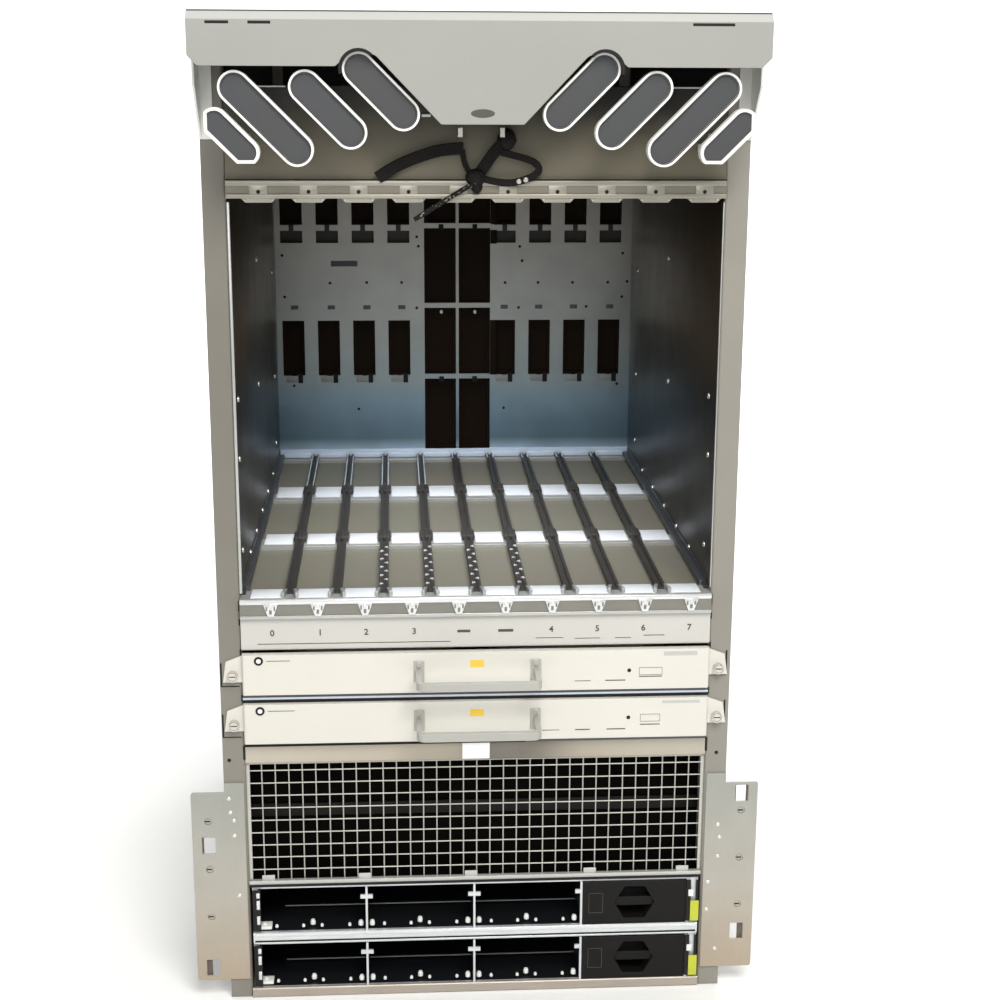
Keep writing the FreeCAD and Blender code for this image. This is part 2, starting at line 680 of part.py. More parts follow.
def connector(x0, x1, z0, z1):
    """One moulded header on the board, hollow toward the card."""
    d0, d1 = BACKPLANE_DEPTH + CONNECTOR_RECESS, BACKPLANE_DEPTH + BOARD_GAP
    body = box(x0, x1, d0, d1, z0, z1)
    wall = CONNECTOR_RECESS
    return body.cut(box(x0 + wall, x1 - wall, d0, d1 - wall, z0 + wall, z1 - wall))


def backplane_connectors():
    """Headers behind every window and two tall rows behind the middle slots."""
    headers = []
    half = WINDOW_WIDTH / 2
    outer = [s for s in range(SLOT_COUNT) if s not in middle_slots()]
    for slot in outer:
        x = slot_middle(slot)
        for low, high in (LOWER_WINDOW, UPPER_WINDOW):
            headers.append(connector(x - half, x + half, Z_CAGE + low, Z_CAGE + high))
    middle = (CENTRE_LEFT + CENTRE_RIGHT) / 2
    edges = (CENTRE_LEFT, middle - CENTRE_POST / 2), (middle + CENTRE_POST / 2, CENTRE_RIGHT)
    low_edge = Z_CAGE + PLATE_FOOT
    for x0, x1 in edges:
        steps = [low_edge] + [Z_CAGE + z + CENTRE_BAR_HEIGHT / 2 for z in CENTRE_BARS]
        steps.append(Z_CAGE + CENTRE_TOP)
        for z0, z1 in zip(steps, steps[1:]):
            headers.append(connector(x0, x1, z0, z1))
    return headers


def middle_slots():
    """The two slots for the route processors."""
    return (SLOT_COUNT // 2 - 1, SLOT_COUNT // 2)


# Fan trays

def tray_runners(z_top, front):
    """Ledges along both walls that carry a fan tray."""
    right = box(INNER - RUNNER_WIDTH, INNER, front, BACKPLANE_DEPTH, z_top - SHEET, z_top)
    return [right, mirrored(right)]


def fan_shelf():
    """Front bar between the fan trays with the upper tray's two runners."""
    front = -SHELF_REACH
    rear = RUNNER_WIDTH
    points = [(front, Z_SHELF, SHEET), (rear, Z_SHELF), (rear, Z_FAN_UP), (front, Z_FAN_UP, SHEET)]
    bar = along_x(points, -INNER, INNER)
    return fused([bar] + tray_runners(Z_FAN_UP, 0))


def filter_header():
    """Panel above the intake, its return over the grille, and the lower tray's runners."""
    rear = HEADER_RETURN
    points = [(0, Z_HEADER, BEND), (rear, Z_HEADER), (rear, Z_HEADER + SHEET), (SHEET, Z_HEADER + SHEET),
              (SHEET, Z_FAN_LOW - SHEET), (rear, Z_FAN_LOW - SHEET), (rear, Z_FAN_LOW), (0, Z_FAN_LOW, BEND)]
    panel = along_x(points, -INNER, INNER)
    return fused([panel] + tray_runners(Z_FAN_LOW, rear))


def fan_places():
    """Centre of each fan of a tray: x and distance behind the flange."""
    rows = [FAN_FIRST + k * FAN_PITCH for k in range(FAN_ROWS)]
    return [(side * FAN_SPREAD, d) for d in rows for side in (-1, 1)]


def fan_housing(x, d, z0, z1):
    """Square fan housing with cut corners, before its duct is cut."""
    half = RING_RADIUS + RING_WALL
    cut = half - HOUSING_CORNER
    points = [(half, -cut), (half, cut), (cut, half), (-cut, half), (-half, cut), (-half, -cut),
              (-cut, -half), (cut, -half)]
    return level([(x + a, d + b) for a, b in points], z0, z1)


def fan_frame(z0):
    """Open tray of sheet metal with its fan housings, their struts and motor plates."""
    low = z0 + RUNNING_GAP
    high = low + FAN_FRAME_HEIGHT
    front = -RUNNING_GAP
    tray = box(-FRAME_HALF, FRAME_HALF, front, FAN_DEPTH, low, high)
    inside = FRAME_HALF - FAN_WALL
    tray = tray.cut(box(-inside, inside, front + FAN_WALL, FAN_DEPTH - FAN_WALL, low + FAN_WALL, high))
    tray = tray.fuse([fan_housing(x, d, low, high) for x, d in fan_places()])
    ducts = [many_sided(x, d, RING_RADIUS, DUCT_SIDES) for x, d in fan_places()]
    tray = tray.cut([level(points, low, high) for points in ducts])
    half = STRUT_WIDTH / 2
    top = low + MOTOR_DISC_THICK
    reach = RING_RADIUS + RING_WALL / 2
    motors = []
    for x, d in fan_places():
        motors.append(box(x - reach, x + reach, d - half, d + half, low, top))
        motors.append(box(x - half, x + half, d - reach, d + reach, low, top))
        motors.append(level(many_sided(x, d, HUB_RADIUS, HUB_SIDES), low, top))
    return tray.fuse(motors).removeSplitter()


def blade():
    """One blade with a crease along its middle, drawn across its chord and out along the radius."""
    half = BLADE_CHORD / 2
    root = HUB_RADIUS - FAN_WALL
    section = [(-half, 0), (0, BLADE_CAMBER), (half, 0), (half, BLADE_THICK),
               (0, BLADE_CAMBER + BLADE_THICK), (-half, BLADE_THICK)]
    face = outline(section, lambda across, up: V(root, across, up))
    tip = RING_RADIUS - BLADE_TIP_GAP
    vane = face.extrude(V(math.sqrt(tip ** 2 - half ** 2) - root, 0, 0))
    vane.rotate(V(0, 0, 0), V(1, 0, 0), BLADE_ANGLE)
    return vane


def rotor(z0, x, d):
    """Hub with its ring of blades; the motor is closed inside the hub, on the motor plate."""
    base = z0 + RUNNING_GAP + MOTOR_DISC_THICK + BEARING_GAP
    hub = level(many_sided(x, d, HUB_RADIUS, HUB_SIDES), base, base + HUB_HEIGHT)
    vanes = []
    for k in range(BLADE_COUNT):
        vane = blade()
        vane.rotate(V(0, 0, 0), V(0, 0, 1), 360.0 * k / BLADE_COUNT)
        vane.translate(V(x, back(d), base + HUB_HEIGHT / 2 - BLADE_CAMBER / 2))
        vanes.append(vane)
    return hub.fuse(vanes).removeSplitter()


def fan_face(z0):
    """Cream front of a fan tray: a shallow folded pan with a screw ear at each end."""
    low, high = z0 + FACE_GAP, z0 + FAN_TIER - FACE_GAP
    front, rear = -FACE_REACH, -RUNNING_GAP
    half = FRAME_HALF
    points = [(-half, front, BEND), (half, front, BEND), (half, rear), (-half, rear)]
    pan = level(points, low, high)
    inside = half - FAN_WALL
    pan = pan.cut(box(-inside, inside, front + FAN_WALL, rear, low + FAN_WALL, high - FAN_WALL))
    top = high - EAR_TOP
    ear = upright([(half - FAN_WALL, high - FAN_WALL), (half + EAR_REACH - EAR_TAPER, top),
                   (half + EAR_REACH, low + EAR_FOOT), (half - FAN_WALL, low + EAR_FOOT)],
                  rear - FAN_WALL, rear)
    return fused([pan, ear, mirrored(ear)])


def ear_screw(z0):
    """Head of the right-hand captive thumb screw, standing on the ear."""
    x = FRAME_HALF + EAR_REACH / 2
    z = z0 + FACE_GAP + EAR_FOOT + EAR_SCREW_RISE
    seat = -RUNNING_GAP - FAN_WALL
    return upright(many_sided(x, z, SCREW_HEAD_RADIUS, SCREW_SIDES), seat - SCREW_HEAD_HEIGHT, seat)


def fan_handle(z0):
    """Flat bar bent to a handle, its two feet on the face."""
    z = z0 + FAN_TIER / 2
    half = HANDLE_SPAN / 2
    inside = half - HANDLE_THICK
    root = -FACE_REACH
    grip = root - HANDLE_REACH
    bend = HANDLE_CORNER
    points = [(-half, root), (-half, grip, bend), (half, grip, bend), (half, root), (inside, root),
              (inside, grip + HANDLE_THICK, bend - HANDLE_THICK),
              (-inside, grip + HANDLE_THICK, bend - HANDLE_THICK), (-inside, root)]
    return level(points, z - HANDLE_WIDTH / 2, z + HANDLE_WIDTH / 2)


# Intake

def intake_grille():
    """Flat frame and welded wires: the upright wires behind, the level ones in front of them."""
    d0 = GRILLE_SETBACK
    d1 = d0 + 2 * WIRE_THICK
    low, high = deck_top(), Z_HEADER
    side = INNER - GRILLE_BORDER
    bottom, top = low + GRILLE_BORDER, high - GRILLE_BORDER
    frame = box(-INNER, INNER, d0, d1, low, high).cut(box(-side, side, d0, d1, bottom, top))
    half = WIRE_THICK / 2
    wires = []
    columns = int(2 * side / WIRE_PITCH)
    rows = int((top - TOP_MESH - bottom) / WIRE_PITCH) + 1
    for k in range(columns):
        x = (k - (columns - 1) / 2) * WIRE_PITCH
        wires.append(box(x - half, x + half, d0 + WIRE_THICK, d1, bottom, top))
    for k in range(rows):
        z = top - TOP_MESH - k * WIRE_PITCH
        wires.append(box(-side, side, d0, d0 + WIRE_THICK, z - half, z + half))
    return [frame] + wires


def air_filter():
    """Foam filter pad, standing on the deck behind the grille."""
    d0 = GRILLE_SETBACK + 2 * WIRE_THICK + FILTER_GAP
    return box(-INNER, INNER, d0, d0 + FILTER_THICK, deck_top(), Z_HEADER)


def deck_top():
    """Upper face of the deck over the power trays."""
    return Z_DECK + 2 * SHEET


def plenum_deck():
    """Floor of the air intake, turned up in front."""
    low = Z_DECK + SHEET
    points = [(0, low, BEND), (BACKPLANE_DEPTH, low), (BACKPLANE_DEPTH, low + SHEET), (SHEET, low + SHEET),
              (SHEET, Z_INTAKE), (0, Z_INTAKE)]
    return along_x(points, -INNER, INNER)


# Power trays

def bay_walls():
    """The x of the left edge of every bay, and of the right edge of the last."""
    return [BAY_START + k * BAY_PITCH for k in range(BAY_COUNT + 1)]


def bay_middles():
    """The x of the middle of every bay."""
    return [x + BAY_PITCH / 2 for x in bay_walls()[:-1]]


def power_tray(z0, seat, with_bar):
    """Folded tray with four bays; its walls stand on what is below."""
    top = z0 + BAY_HEIGHT
    rear = POWER_DEPTH
    shell = box(-TRAY_HALF, TRAY_HALF, 0, rear, seat, top + SHEET)
    inside = TRAY_HALF - SHEET
    shell = shell.cut(box(-inside, inside, 0, rear - SHEET, z0, top))
    shell = shell.cut(box(-inside, inside, 0, rear, seat, z0 - SHEET))
    parts = [shell]
    clip_z = top - CLIP_DROP
    for x in bay_walls()[1:]:
        parts.append(box(x - SHEET / 2, x + SHEET / 2, -SHEET, rear - SHEET, z0, top))
    for x in bay_walls()[1:-1]:
        clip_end = x + SHEET / 2 if x == bay_walls()[-2] else x + CLIP_WIDTH / 2
        parts.append(box(x - CLIP_WIDTH / 2, clip_end, -SHEET, 0, clip_z - CLIP_HEIGHT, clip_z))
    parts.append(box(-TRAY_HALF, BAY_START, 0, SHEET, z0, top))
    parts.append(box(bay_walls()[-1], TRAY_HALF, 0, SHEET, z0, top))
    if with_bar:
        front = -BAR_REACH
        points = [(front, seat, SHEET), (BAR_RETURN, seat), (BAR_RETURN, seat + SHEET),
                  (front + SHEET, seat + SHEET), (front + SHEET, z0 - SHEET), (BAR_RETURN, z0 - SHEET),
                  (BAR_RETURN, z0), (front, z0, SHEET)]
        parts.append(along_x(points, -TRAY_HALF, TRAY_HALF))
    tray = fused(parts)
    for x in bay_middles():
        wide, tall = INLET_WIDTH / 2, INLET_HEIGHT / 2
        middle = z0 + BAY_HEIGHT / 2
        tray = tray.cut(box(x - wide, x + wide, rear - SHEET, rear, middle - tall, middle + tall))
    return tray


def power_blank(z0):
    """Filler for the last bay: a box open at the rear, with a grip bar across a six-sided recess."""
    gap = SHEET / 2 + RUNNING_GAP
    x0, x1 = bay_walls()[-2] + gap, bay_walls()[-1] - gap
    body = box(x0, x1, -SHEET, BLANK_DEPTH, z0 + RUNNING_GAP, z0 + BAY_HEIGHT - RUNNING_GAP)
    x, z = (x0 + x1) / 2, z0 + BAY_HEIGHT / 2
    wide, tall = GRIP_WIDTH / 2, GRIP_HEIGHT / 2
    six_sides = [(x - wide, z), (x - wide / 2, z + tall), (x + wide / 2, z + tall), (x + wide, z),
                 (x + wide / 2, z - tall), (x - wide / 2, z - tall)]
    body = body.cut(upright(six_sides, -SHEET, GRIP_DEPTH))
    bar_front = GRIP_BAR_SETBACK - SHEET
    bar = box(x - wide, x + wide, bar_front, bar_front + GRIP_BAR_THICK, z - GRIP_BAR / 2,
              z + GRIP_BAR / 2)
    body = body.fuse(bar)
    inside = box(x0 + SHEET, x1 - SHEET, GRIP_DEPTH + SHEET, BLANK_DEPTH, z0 + RUNNING_GAP + SHEET,
                 z0 + BAY_HEIGHT - RUNNING_GAP - SHEET)
    return body.cut(inside).removeSplitter()


def power_inlets():
    """Appliance inlets at the rear of both trays, one per bay."""
    inlets = []
    for z0 in (Z_LOW_BAY, Z_UP_BAY):
        for x in bay_middles():
            z = z0 + BAY_HEIGHT / 2
            wide, tall = INLET_WIDTH / 2, INLET_HEIGHT / 2
            d1 = BODY_DEPTH
            shroud = box(x - wide, x + wide, POWER_DEPTH - SHEET, d1, z - tall, z + tall)
            wall = INLET_WALL
            shroud = shroud.cut(box(x - wide + wall, x + wide - wall, d1 - INLET_DEPTH, d1,
                                    z - tall + wall, z + tall - wall))
            thin, broad = PIN_THICK / 2, PIN_WIDTH / 2
            pins = [box(x + dx - thin, x + dx + thin, d1 - INLET_DEPTH, d1 - wall, z - broad, z + broad)
                    for dx in (-PIN_PITCH, 0.0, PIN_PITCH)]
            inlets.append(fused([shroud] + pins))
    return inlets


# Tie straps

def strap_hook(x):
    """Bent sheet tab on the upper panel."""
    z = HEIGHT - HOOK_DROP
    points = [(0, z), (-HOOK_REACH, z), (-HOOK_REACH, z + HOOK_TIP), (-HOOK_REACH + SHEET, z + HOOK_TIP),
              (-HOOK_REACH + SHEET, z + SHEET), (0, z + SHEET)]
    return along_x(points, x - HOOK_WIDTH / 2, x + HOOK_WIDTH / 2)


def ribbon(points, width, d0):
    """A flat strap along points (x, distance below the top), with its flat side to the front."""
    middle = [V(x, HEIGHT - drop, 0) for x, drop in points]
    runs = [(b - a).normalize() for a, b in zip(middle, middle[1:])]
    before = [runs[0]] + runs
    after = runs + [runs[-1]]
    left, right = [], []
    for point, come, leave in zip(middle, before, after):
        along = (come + leave).normalize()
        half = width / 2 / math.cos(come.getAngle(leave) / 2)
        across = V(-along.y, along.x, 0) * half
        left.append(point + across)
        right.append(point - across)
    edge = left + right[::-1]
    return upright([(p.x, p.y) for p in edge], d0, d0 + STRAP_THICK)


def hook_eye(x, d0):
    """The strap's loop round a hook, and the hole through it."""
    z0, z1 = HEIGHT - HOOK_DROP - EYE_GAP, HEIGHT - HOOK_DROP + SHEET + EYE_GAP
    half = HOOK_WIDTH / 2 + EYE_GAP
    d1 = d0 + STRAP_THICK
    loop = box(x - half - EYE_WALL, x + half + EYE_WALL, d0, d1, z0 - EYE_WALL, z1 + EYE_WALL)
    return loop, box(x - half, x + half, d0, d1, z0, z1)


def hung_strap(hook_x, points, width, d0):
    """A strap that hangs by an eye from a hook."""
    loop, hole = hook_eye(hook_x, d0)
    return fused([loop, ribbon(points, width, d0)]).cut(hole)


def tube(points, radius, d):
    """A round cord along points (x, distance below the top), straight runs joined by arcs."""
    knots = [V(x, back(d), HEIGHT - drop) for x, drop in points]
    edges = []
    here = knots[0]
    for before, corner, after in zip(knots, knots[1:], knots[2:]):
        first, last = before - corner, after - corner
        turn = math.pi - first.getAngle(last)
        reach = 0.45 * min(first.Length, last.Length)
        bend = reach / math.tan(turn / 2)
        start = corner + V(first).normalize() * reach
        end = corner + V(last).normalize() * reach
        inward = (V(first).normalize() + V(last).normalize()).normalize()
        middle = corner + inward * (bend / math.cos(turn / 2) - bend)
        edges.append(Part.LineSegment(here, start).toShape())
        edges.append(Part.Arc(start, middle, end).toShape())
        print("cord bend radius %.1f" % bend)
        here = end
    edges.append(Part.LineSegment(here, knots[-1]).toShape())
    path = Part.Wire(edges)
    section = Part.Circle(knots[0], knots[1] - knots[0], radius).toShape()
    cord = path.makePipe(Part.Face(Part.Wire([section])))
    print("cord length %.1f, volume over section %.1f" % (path.Length, cord.Volume / (math.pi * radius ** 2)))
    return cord


os.makedirs("parts", exist_ok=True)

right_side = side_panel()
save("side_panel_right", right_side)
save("side_panel_left", mirrored(right_side))
save("base_pan", base_pan())
save("top_cover", top_cover())
save("rear_cover", rear_cover())
save("rear_exhaust_grille", rear_exhaust_grille())
save("rack_plate_right", rack_plate(RIGHT_WINDOWS))
save("rack_plate_left", mirrored(rack_plate(LEFT_WINDOWS)))

save("hood", hood())
right_bracket = hood_bracket()
save("hood_brackets", right_bracket, mirrored(right_bracket))
save("upper_front_panel", upper_front_panel())
left_shells, left_screens = lozenges(-1)
right_shells, right_screens = lozenges(1)
save("vent_lozenges", *left_shells, *right_shells)
save("lozenge_screens", *left_screens, *right_screens)

save("cage_top_rail", cage_top_rail())
save("cage_floor", *crossbars(Z_CAGE - CROSSBAR_HEIGHT))
save("floor_guides", *card_guides(Z_CAGE, True))
save("airflow_screen", box(-INNER, INNER, 0, BACKPLANE_DEPTH, Z_CAGE - CROSSBAR_HEIGHT - SHEET,
                           Z_CAGE - CROSSBAR_HEIGHT))
save("cage_ceiling", *crossbars(Z_CEILING - CROSSBAR_HEIGHT))
save("ceiling_guides", *card_guides(Z_CEILING - CROSSBAR_HEIGHT - GUIDE_HEIGHT, False))
save("cage_sill", cage_sill())
save("slot_strip", slot_strip())

first_middle, last_middle = middle_slots()
save("backplane_plate_left", backplane_plate(-INNER, CENTRE_LEFT, range(first_middle)))
save("backplane_plate_right", backplane_plate(CENTRE_RIGHT, INNER, range(last_middle + 1, SLOT_COUNT)))
save("backplane_centre_bars", backplane_centre_bars())
save("backplane_connectors", *backplane_connectors())
board_front = BACKPLANE_DEPTH + BOARD_GAP
save("backplane_board", box(-INNER, INNER, board_front, board_front + BOARD_THICK, Z_CAGE, Z_CEILING))

save("fan_shelf", fan_shelf())
save("filter_header", filter_header())
for level_name, tier in (("upper", Z_FAN_UP), ("lower", Z_FAN_LOW)):
    save("fan_frame_" + level_name, fan_frame(tier))
    save("fan_face_" + level_name, fan_face(tier))
    save("fan_handle_" + level_name, fan_handle(tier))
    right_screw = ear_screw(tier)
    save("fan_screws_" + level_name, right_screw, mirrored(right_screw))
    for number, (fan_x, fan_d) in enumerate(fan_places(), 1):
        save("rotor_%s_%d" % (level_name, number), rotor(tier, fan_x, fan_d))

save("intake_grille", *intake_grille())
save("air_filter", air_filter())
save("plenum_deck", plenum_deck())
save("power_tray_lower", power_tray(Z_LOW_BAY, SHEET, False))
save("power_tray_upper", power_tray(Z_UP_BAY, Z_TRAY_BAR + SHEET, True))
save("power_blank_lower", power_blank(Z_LOW_BAY))
save("power_blank_upper", power_blank(Z_UP_BAY))
save("power_inlets", *power_inlets())

save("strap_hooks", *[strap_hook(x) for x in HOOK_PLACES])
save("tie_straps", hung_strap(HOOK_PLACES[0], STRAP_LEFT, LEFT_STRAP_WIDTH, STRAP_PLANE),
     hung_strap(HOOK_PLACES[1], STRAP_RIGHT, RIGHT_STRAP_WIDTH, STRAP_PLANE))
save("band_loop", ribbon(BAND_LOOP, BAND_WIDTH, STRAP_PLANE - STRAP_THICK))
save("lanyard", tube(LANYARD, LANYARD_RADIUS, STRAP_PLANE - LANYARD_RADIUS - EYE_GAP))
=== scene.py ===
# %% [markdown]
# # A modular router chassis, dressed for its picture
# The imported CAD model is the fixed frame: sheet metal, card cage, fan trays, air intake and power
# shelves. This lesson gives every sheet its finish and adds the small things that a CAD solid
# leaves out: webbing, snaps, screws, printed marks, spring fingers and labels.

# %% Load the frame
import json
import math

import bmesh
import bpy
from mathutils import Matrix, Vector


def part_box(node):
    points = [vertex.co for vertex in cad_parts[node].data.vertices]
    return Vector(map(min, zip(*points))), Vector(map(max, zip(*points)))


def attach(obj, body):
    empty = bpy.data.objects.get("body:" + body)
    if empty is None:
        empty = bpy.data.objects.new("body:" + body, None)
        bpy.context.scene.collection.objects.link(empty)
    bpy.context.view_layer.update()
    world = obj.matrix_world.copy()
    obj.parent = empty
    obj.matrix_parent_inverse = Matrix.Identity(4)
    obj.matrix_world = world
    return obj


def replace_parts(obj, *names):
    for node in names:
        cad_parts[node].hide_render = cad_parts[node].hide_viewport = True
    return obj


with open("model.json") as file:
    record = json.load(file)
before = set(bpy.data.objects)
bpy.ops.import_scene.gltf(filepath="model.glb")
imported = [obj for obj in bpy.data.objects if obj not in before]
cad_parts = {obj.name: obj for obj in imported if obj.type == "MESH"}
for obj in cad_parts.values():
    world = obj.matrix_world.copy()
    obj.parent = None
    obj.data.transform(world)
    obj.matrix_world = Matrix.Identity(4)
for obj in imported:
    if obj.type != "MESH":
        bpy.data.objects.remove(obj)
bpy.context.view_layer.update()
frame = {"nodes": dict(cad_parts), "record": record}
nodes = frame["nodes"]
print("frame:", len(nodes), "CAD nodes")

# %% [markdown]
# A chassis is drawn from its mounting flange, so every place below is (x, depth behind the flange's
# front, height) in millimetres. One matrix takes such a place into the frame, and reach() reads a
# CAD node's box in the same terms, so a piece can be set against the sheet that carries it.

# %% Places
FLANGE = Vector((0.0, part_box("rack_plate_left")[1].y, 0.0))
TO_FRAME = Matrix.Translation(FLANGE) @ Matrix.Scale(0.001, 4)


def reach(node):
    """The lowest and highest corner of a CAD node, in millimetres from the flange."""
    low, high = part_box(node)
    return (low - FLANGE) * 1000, (high - FLANGE) * 1000


HALF_INSIDE = reach("cage_floor")[1].x
CAGE_FLOOR = reach("floor_guides")[1].z
CAGE_TOP = reach("ceiling_guides")[0].z
BACKPLANE = reach("backplane_centre_bars")[0].y
FAN_FRONT = reach("fan_face_upper")[0].y
print("inside half width", round(HALF_INSIDE, 2), "backplane at", round(BACKPLANE, 1))

# %% [markdown]
# The camera stands a little to the left, at the height of the hood, and looks down into the card
# cage. Its angles were worked out from the edges of the cage, so the lens is given as a focal length
# in pixels of the 1000 pixel frame.

# %% Camera
CAMERA_PLACE = (-75.0, -1532.0, 893.0)
YAW, PITCH, ROLL = (math.radians(a) for a in (3.58, -14.30, 0.27))
FOCAL_PIXELS, FRAME_PIXELS, SENSOR = 1719.0, 1000.0, 36.0

ahead = Vector((math.sin(YAW) * math.cos(PITCH), math.cos(YAW) * math.cos(PITCH), math.sin(PITCH)))
right = Vector((math.cos(YAW), -math.sin(YAW), 0.0))
above = right.cross(ahead)
across = math.cos(ROLL) * right + math.sin(ROLL) * above
upward = math.cos(ROLL) * above - math.sin(ROLL) * right
lens = bpy.data.cameras.new("photo_camera")
lens.sensor_width, lens.lens = SENSOR, SENSOR * FOCAL_PIXELS / FRAME_PIXELS
lens.clip_start, lens.clip_end = 0.05, 60.0
camera = bpy.data.objects.new("photo_camera", lens)
bpy.context.scene.collection.objects.link(camera)
turn = Matrix((across, upward, -ahead)).transposed().to_4x4()
camera.matrix_world = Matrix.Translation(TO_FRAME @ Vector(CAMERA_PLACE)) @ turn
bpy.context.scene.camera = camera
print("camera lens", round(lens.lens, 2), "mm")

# %% [markdown]
# Every finish, and the sky too, is a tree of nodes. One small function adds a node with its settings
# and its links, another feeds the sockets of a node that is already there, and colours are written as
# sRGB hex codes that one function turns to linear.

# %% Nodes and colours
def feed(tree, node, inputs):
    """Sets or links each named socket of a node."""
    for name, value in inputs.items():
        if isinstance(value, bpy.types.NodeSocket):
            tree.links.new(value, node.inputs[name])
        else:
            node.inputs[name].default_value = value


def add(tree, kind, settings=None, inputs=None):
    """Adds a node, sets its properties, and sets or links each of its sockets."""
    node = tree.nodes.new(kind)
    for name, value in (settings or {}).items():
        setattr(node, name, value)
    feed(tree, node, inputs or {})
    return node


def linear(code):
    """An sRGB hex colour as the linear colour that a shader socket takes."""
    parts = [int(code[i:i + 2], 16) / 255 for i in (0, 2, 4)]
    bent = [c / 12.92 if c <= 0.04045 else ((c + 0.055) / 1.055) ** 2.4 for c in parts]
    return (*bent, 1.0)


def begin(name):
    """A new material with its shader and the object coordinates, in metres."""
    material = bpy.data.materials.new(name)
    material.use_nodes = True
    tree = material.node_tree
    coords = add(tree, "ShaderNodeTexCoord").outputs["Object"]
    return material, tree, tree.nodes["Principled BSDF"], coords


# %% [markdown]
# The studio is a pale sweep: a floor that bends up into a wall, so no horizon shows. The light is
# soft and comes from large panels in front and above, as in a bright store room, and the sky light
# keeps the sides and the back readable. A small panel under the ceiling of the card cage lights its
# floor, so that the white bars there read as white.

# %% Studio
scene = bpy.context.scene
scene.view_settings.view_transform = "Standard"

sky = bpy.data.worlds.new("studio_sky")
sky.use_nodes = True
feed(sky.node_tree, sky.node_tree.nodes["Background"], {"Color": linear("F8FAFF"), "Strength": 0.35})
scene.world = sky


def panel_light(name, place, target, size, watts, colour):
    """A square soft box that looks at a target."""
    lamp = bpy.data.lights.new(name, "AREA")
    lamp.shape, lamp.size, lamp.energy, lamp.color = "SQUARE", size, watts, linear(colour)[:3]
    holder = bpy.data.objects.new(name, lamp)
    scene.collection.objects.link(holder)
    look = (Vector(target) - Vector(place)).to_track_quat("-Z", "Y").to_matrix().to_4x4()
    holder.matrix_world = Matrix.Translation(place) @ look
    return holder


# Each panel: name, place, target, side in metres, watts and colour.
PANELS = (
    ("high_front_panel", (0.35, -2.0, 2.35), (0, 0, 0.45), 1.3, 62, "FFFDF8"),
    ("low_front_panel", (-0.5, -3.1, 1.5), (0, 0, 0.5), 1.4, 16, "FFFFFF"),
    ("ceiling_panel", (0.0, 0.3, 3.2), (0, 0, 0.4), 2.4, 25, "FFFFFF"),
    ("back_panel", (0.9, 3.0, 2.2), (0, 0, 0.5), 2.2, 45, "FFFFFF"),
    ("backdrop_panel", (0.0, 2.6, 4.6), (0, 7.2, 1.2), 3.0, 420, "FFFFFF"),
    ("cage_panel", (0.0, FLANGE.y + 0.26, 0.755), (0, FLANGE.y + 0.27, 0.41), 0.36, 0.95, "F8FAFF"),
)
CAGE_PANEL_LENGTH, CAGE_PANEL_SPREAD = 0.5, math.radians(100)
lamps = {row[0]: panel_light(*row) for row in PANELS}
cage_panel = lamps["cage_panel"]
cage_panel.data.shape, cage_panel.data.size_y = "RECTANGLE", CAGE_PANEL_LENGTH
cage_panel.data.spread, cage_panel.visible_camera = CAGE_PANEL_SPREAD, False
print("studio:", len(PANELS), "panels")

# %% [markdown]
# The sweep is one bent line, extruded sideways. Its paper has a grain that is drawn coarser than the
# real one, which would be too fine to show.

# %% Seamless paper
SWEEP = ((-7.0, -0.0005), (4.0, -0.0005), (6.5, 0.8), (7.5, 3.0), (7.5, 9.0))
SWEEP_HALF = 24.0
PAPER_GRAIN = 1.1

floor_cut = bmesh.new()
line = [floor_cut.verts.new((-SWEEP_HALF, y, z)) for y, z in SWEEP]
edges = [floor_cut.edges.new(pair) for pair in zip(line, line[1:])]
grown = bmesh.ops.extrude_edge_only(floor_cut, edges=edges)["geom"]
moved = [g for g in grown if isinstance(g, bmesh.types.BMVert)]
bmesh.ops.translate(floor_cut, verts=moved, vec=(2 * SWEEP_HALF, 0, 0))
bmesh.ops.recalc_face_normals(floor_cut, faces=floor_cut.faces)
floor_mesh = bpy.data.meshes.new("studio_floor")
floor_cut.to_mesh(floor_mesh)
floor_cut.free()
floor = bpy.data.objects.new("studio_floor", floor_mesh)
scene.collection.objects.link(floor)
floor_mesh.shade_smooth()
paper, tree, shader, coords = begin("seamless_paper")
grain = add(tree, "ShaderNodeTexNoise", None, {"Vector": coords, "Scale": 1000 / PAPER_GRAIN, "Detail": 3.0})
bump = add(tree, "ShaderNodeBump", None, {"Strength": 0.05, "Distance": 0.0004, "Height": grain.outputs[0]})
feed(tree, shader, {"Base Color": linear("F4F4F2"), "Roughness": 0.9, "Normal": bump.outputs[0]})
floor_mesh.materials.append(paper)
print("sweep", 2 * SWEEP_HALF, "m wide")

# %% [markdown]
# A few small helpers make nearly every added piece. block() is a sheet metal or moulded block with
# rounded edges, turned() spins a half outline into a screw head, stud or lamp, and keep() takes the
# finished bmesh into the frame, gives it its finish by name and lets it ride on a body. blocks() and
# heads() make a piece of many such shapes, and strip() is a row that runs across the chassis.

# %% Helpers for small pieces
FACING = {"up": Matrix.Identity(4), "front": Matrix.Rotation(math.pi / 2, 4, "X"),
          "back": Matrix.Rotation(-math.pi / 2, 4, "X"), "right": Matrix.Rotation(math.pi / 2, 4, "Y"),
          "left": Matrix.Rotation(-math.pi / 2, 4, "Y")}
SHARP_EDGE = math.radians(38)
FINISH = {}


def block(bm, low, high, rounding=0.0, steps=2):
    """A block between two corners, with its edges rounded."""
    low, high = Vector(low), Vector(high)
    place = Matrix.Translation((low + high) / 2) @ Matrix.Diagonal((*(high - low), 1.0))
    made = bmesh.ops.create_cube(bm, size=1.0, matrix=place)["verts"]
    if rounding:
        edges = list({e for v in made for e in v.link_edges})
        bmesh.ops.bevel(bm, geom=edges, offset=rounding, affect="EDGES", segments=steps, profile=0.5,
                        material=-1)


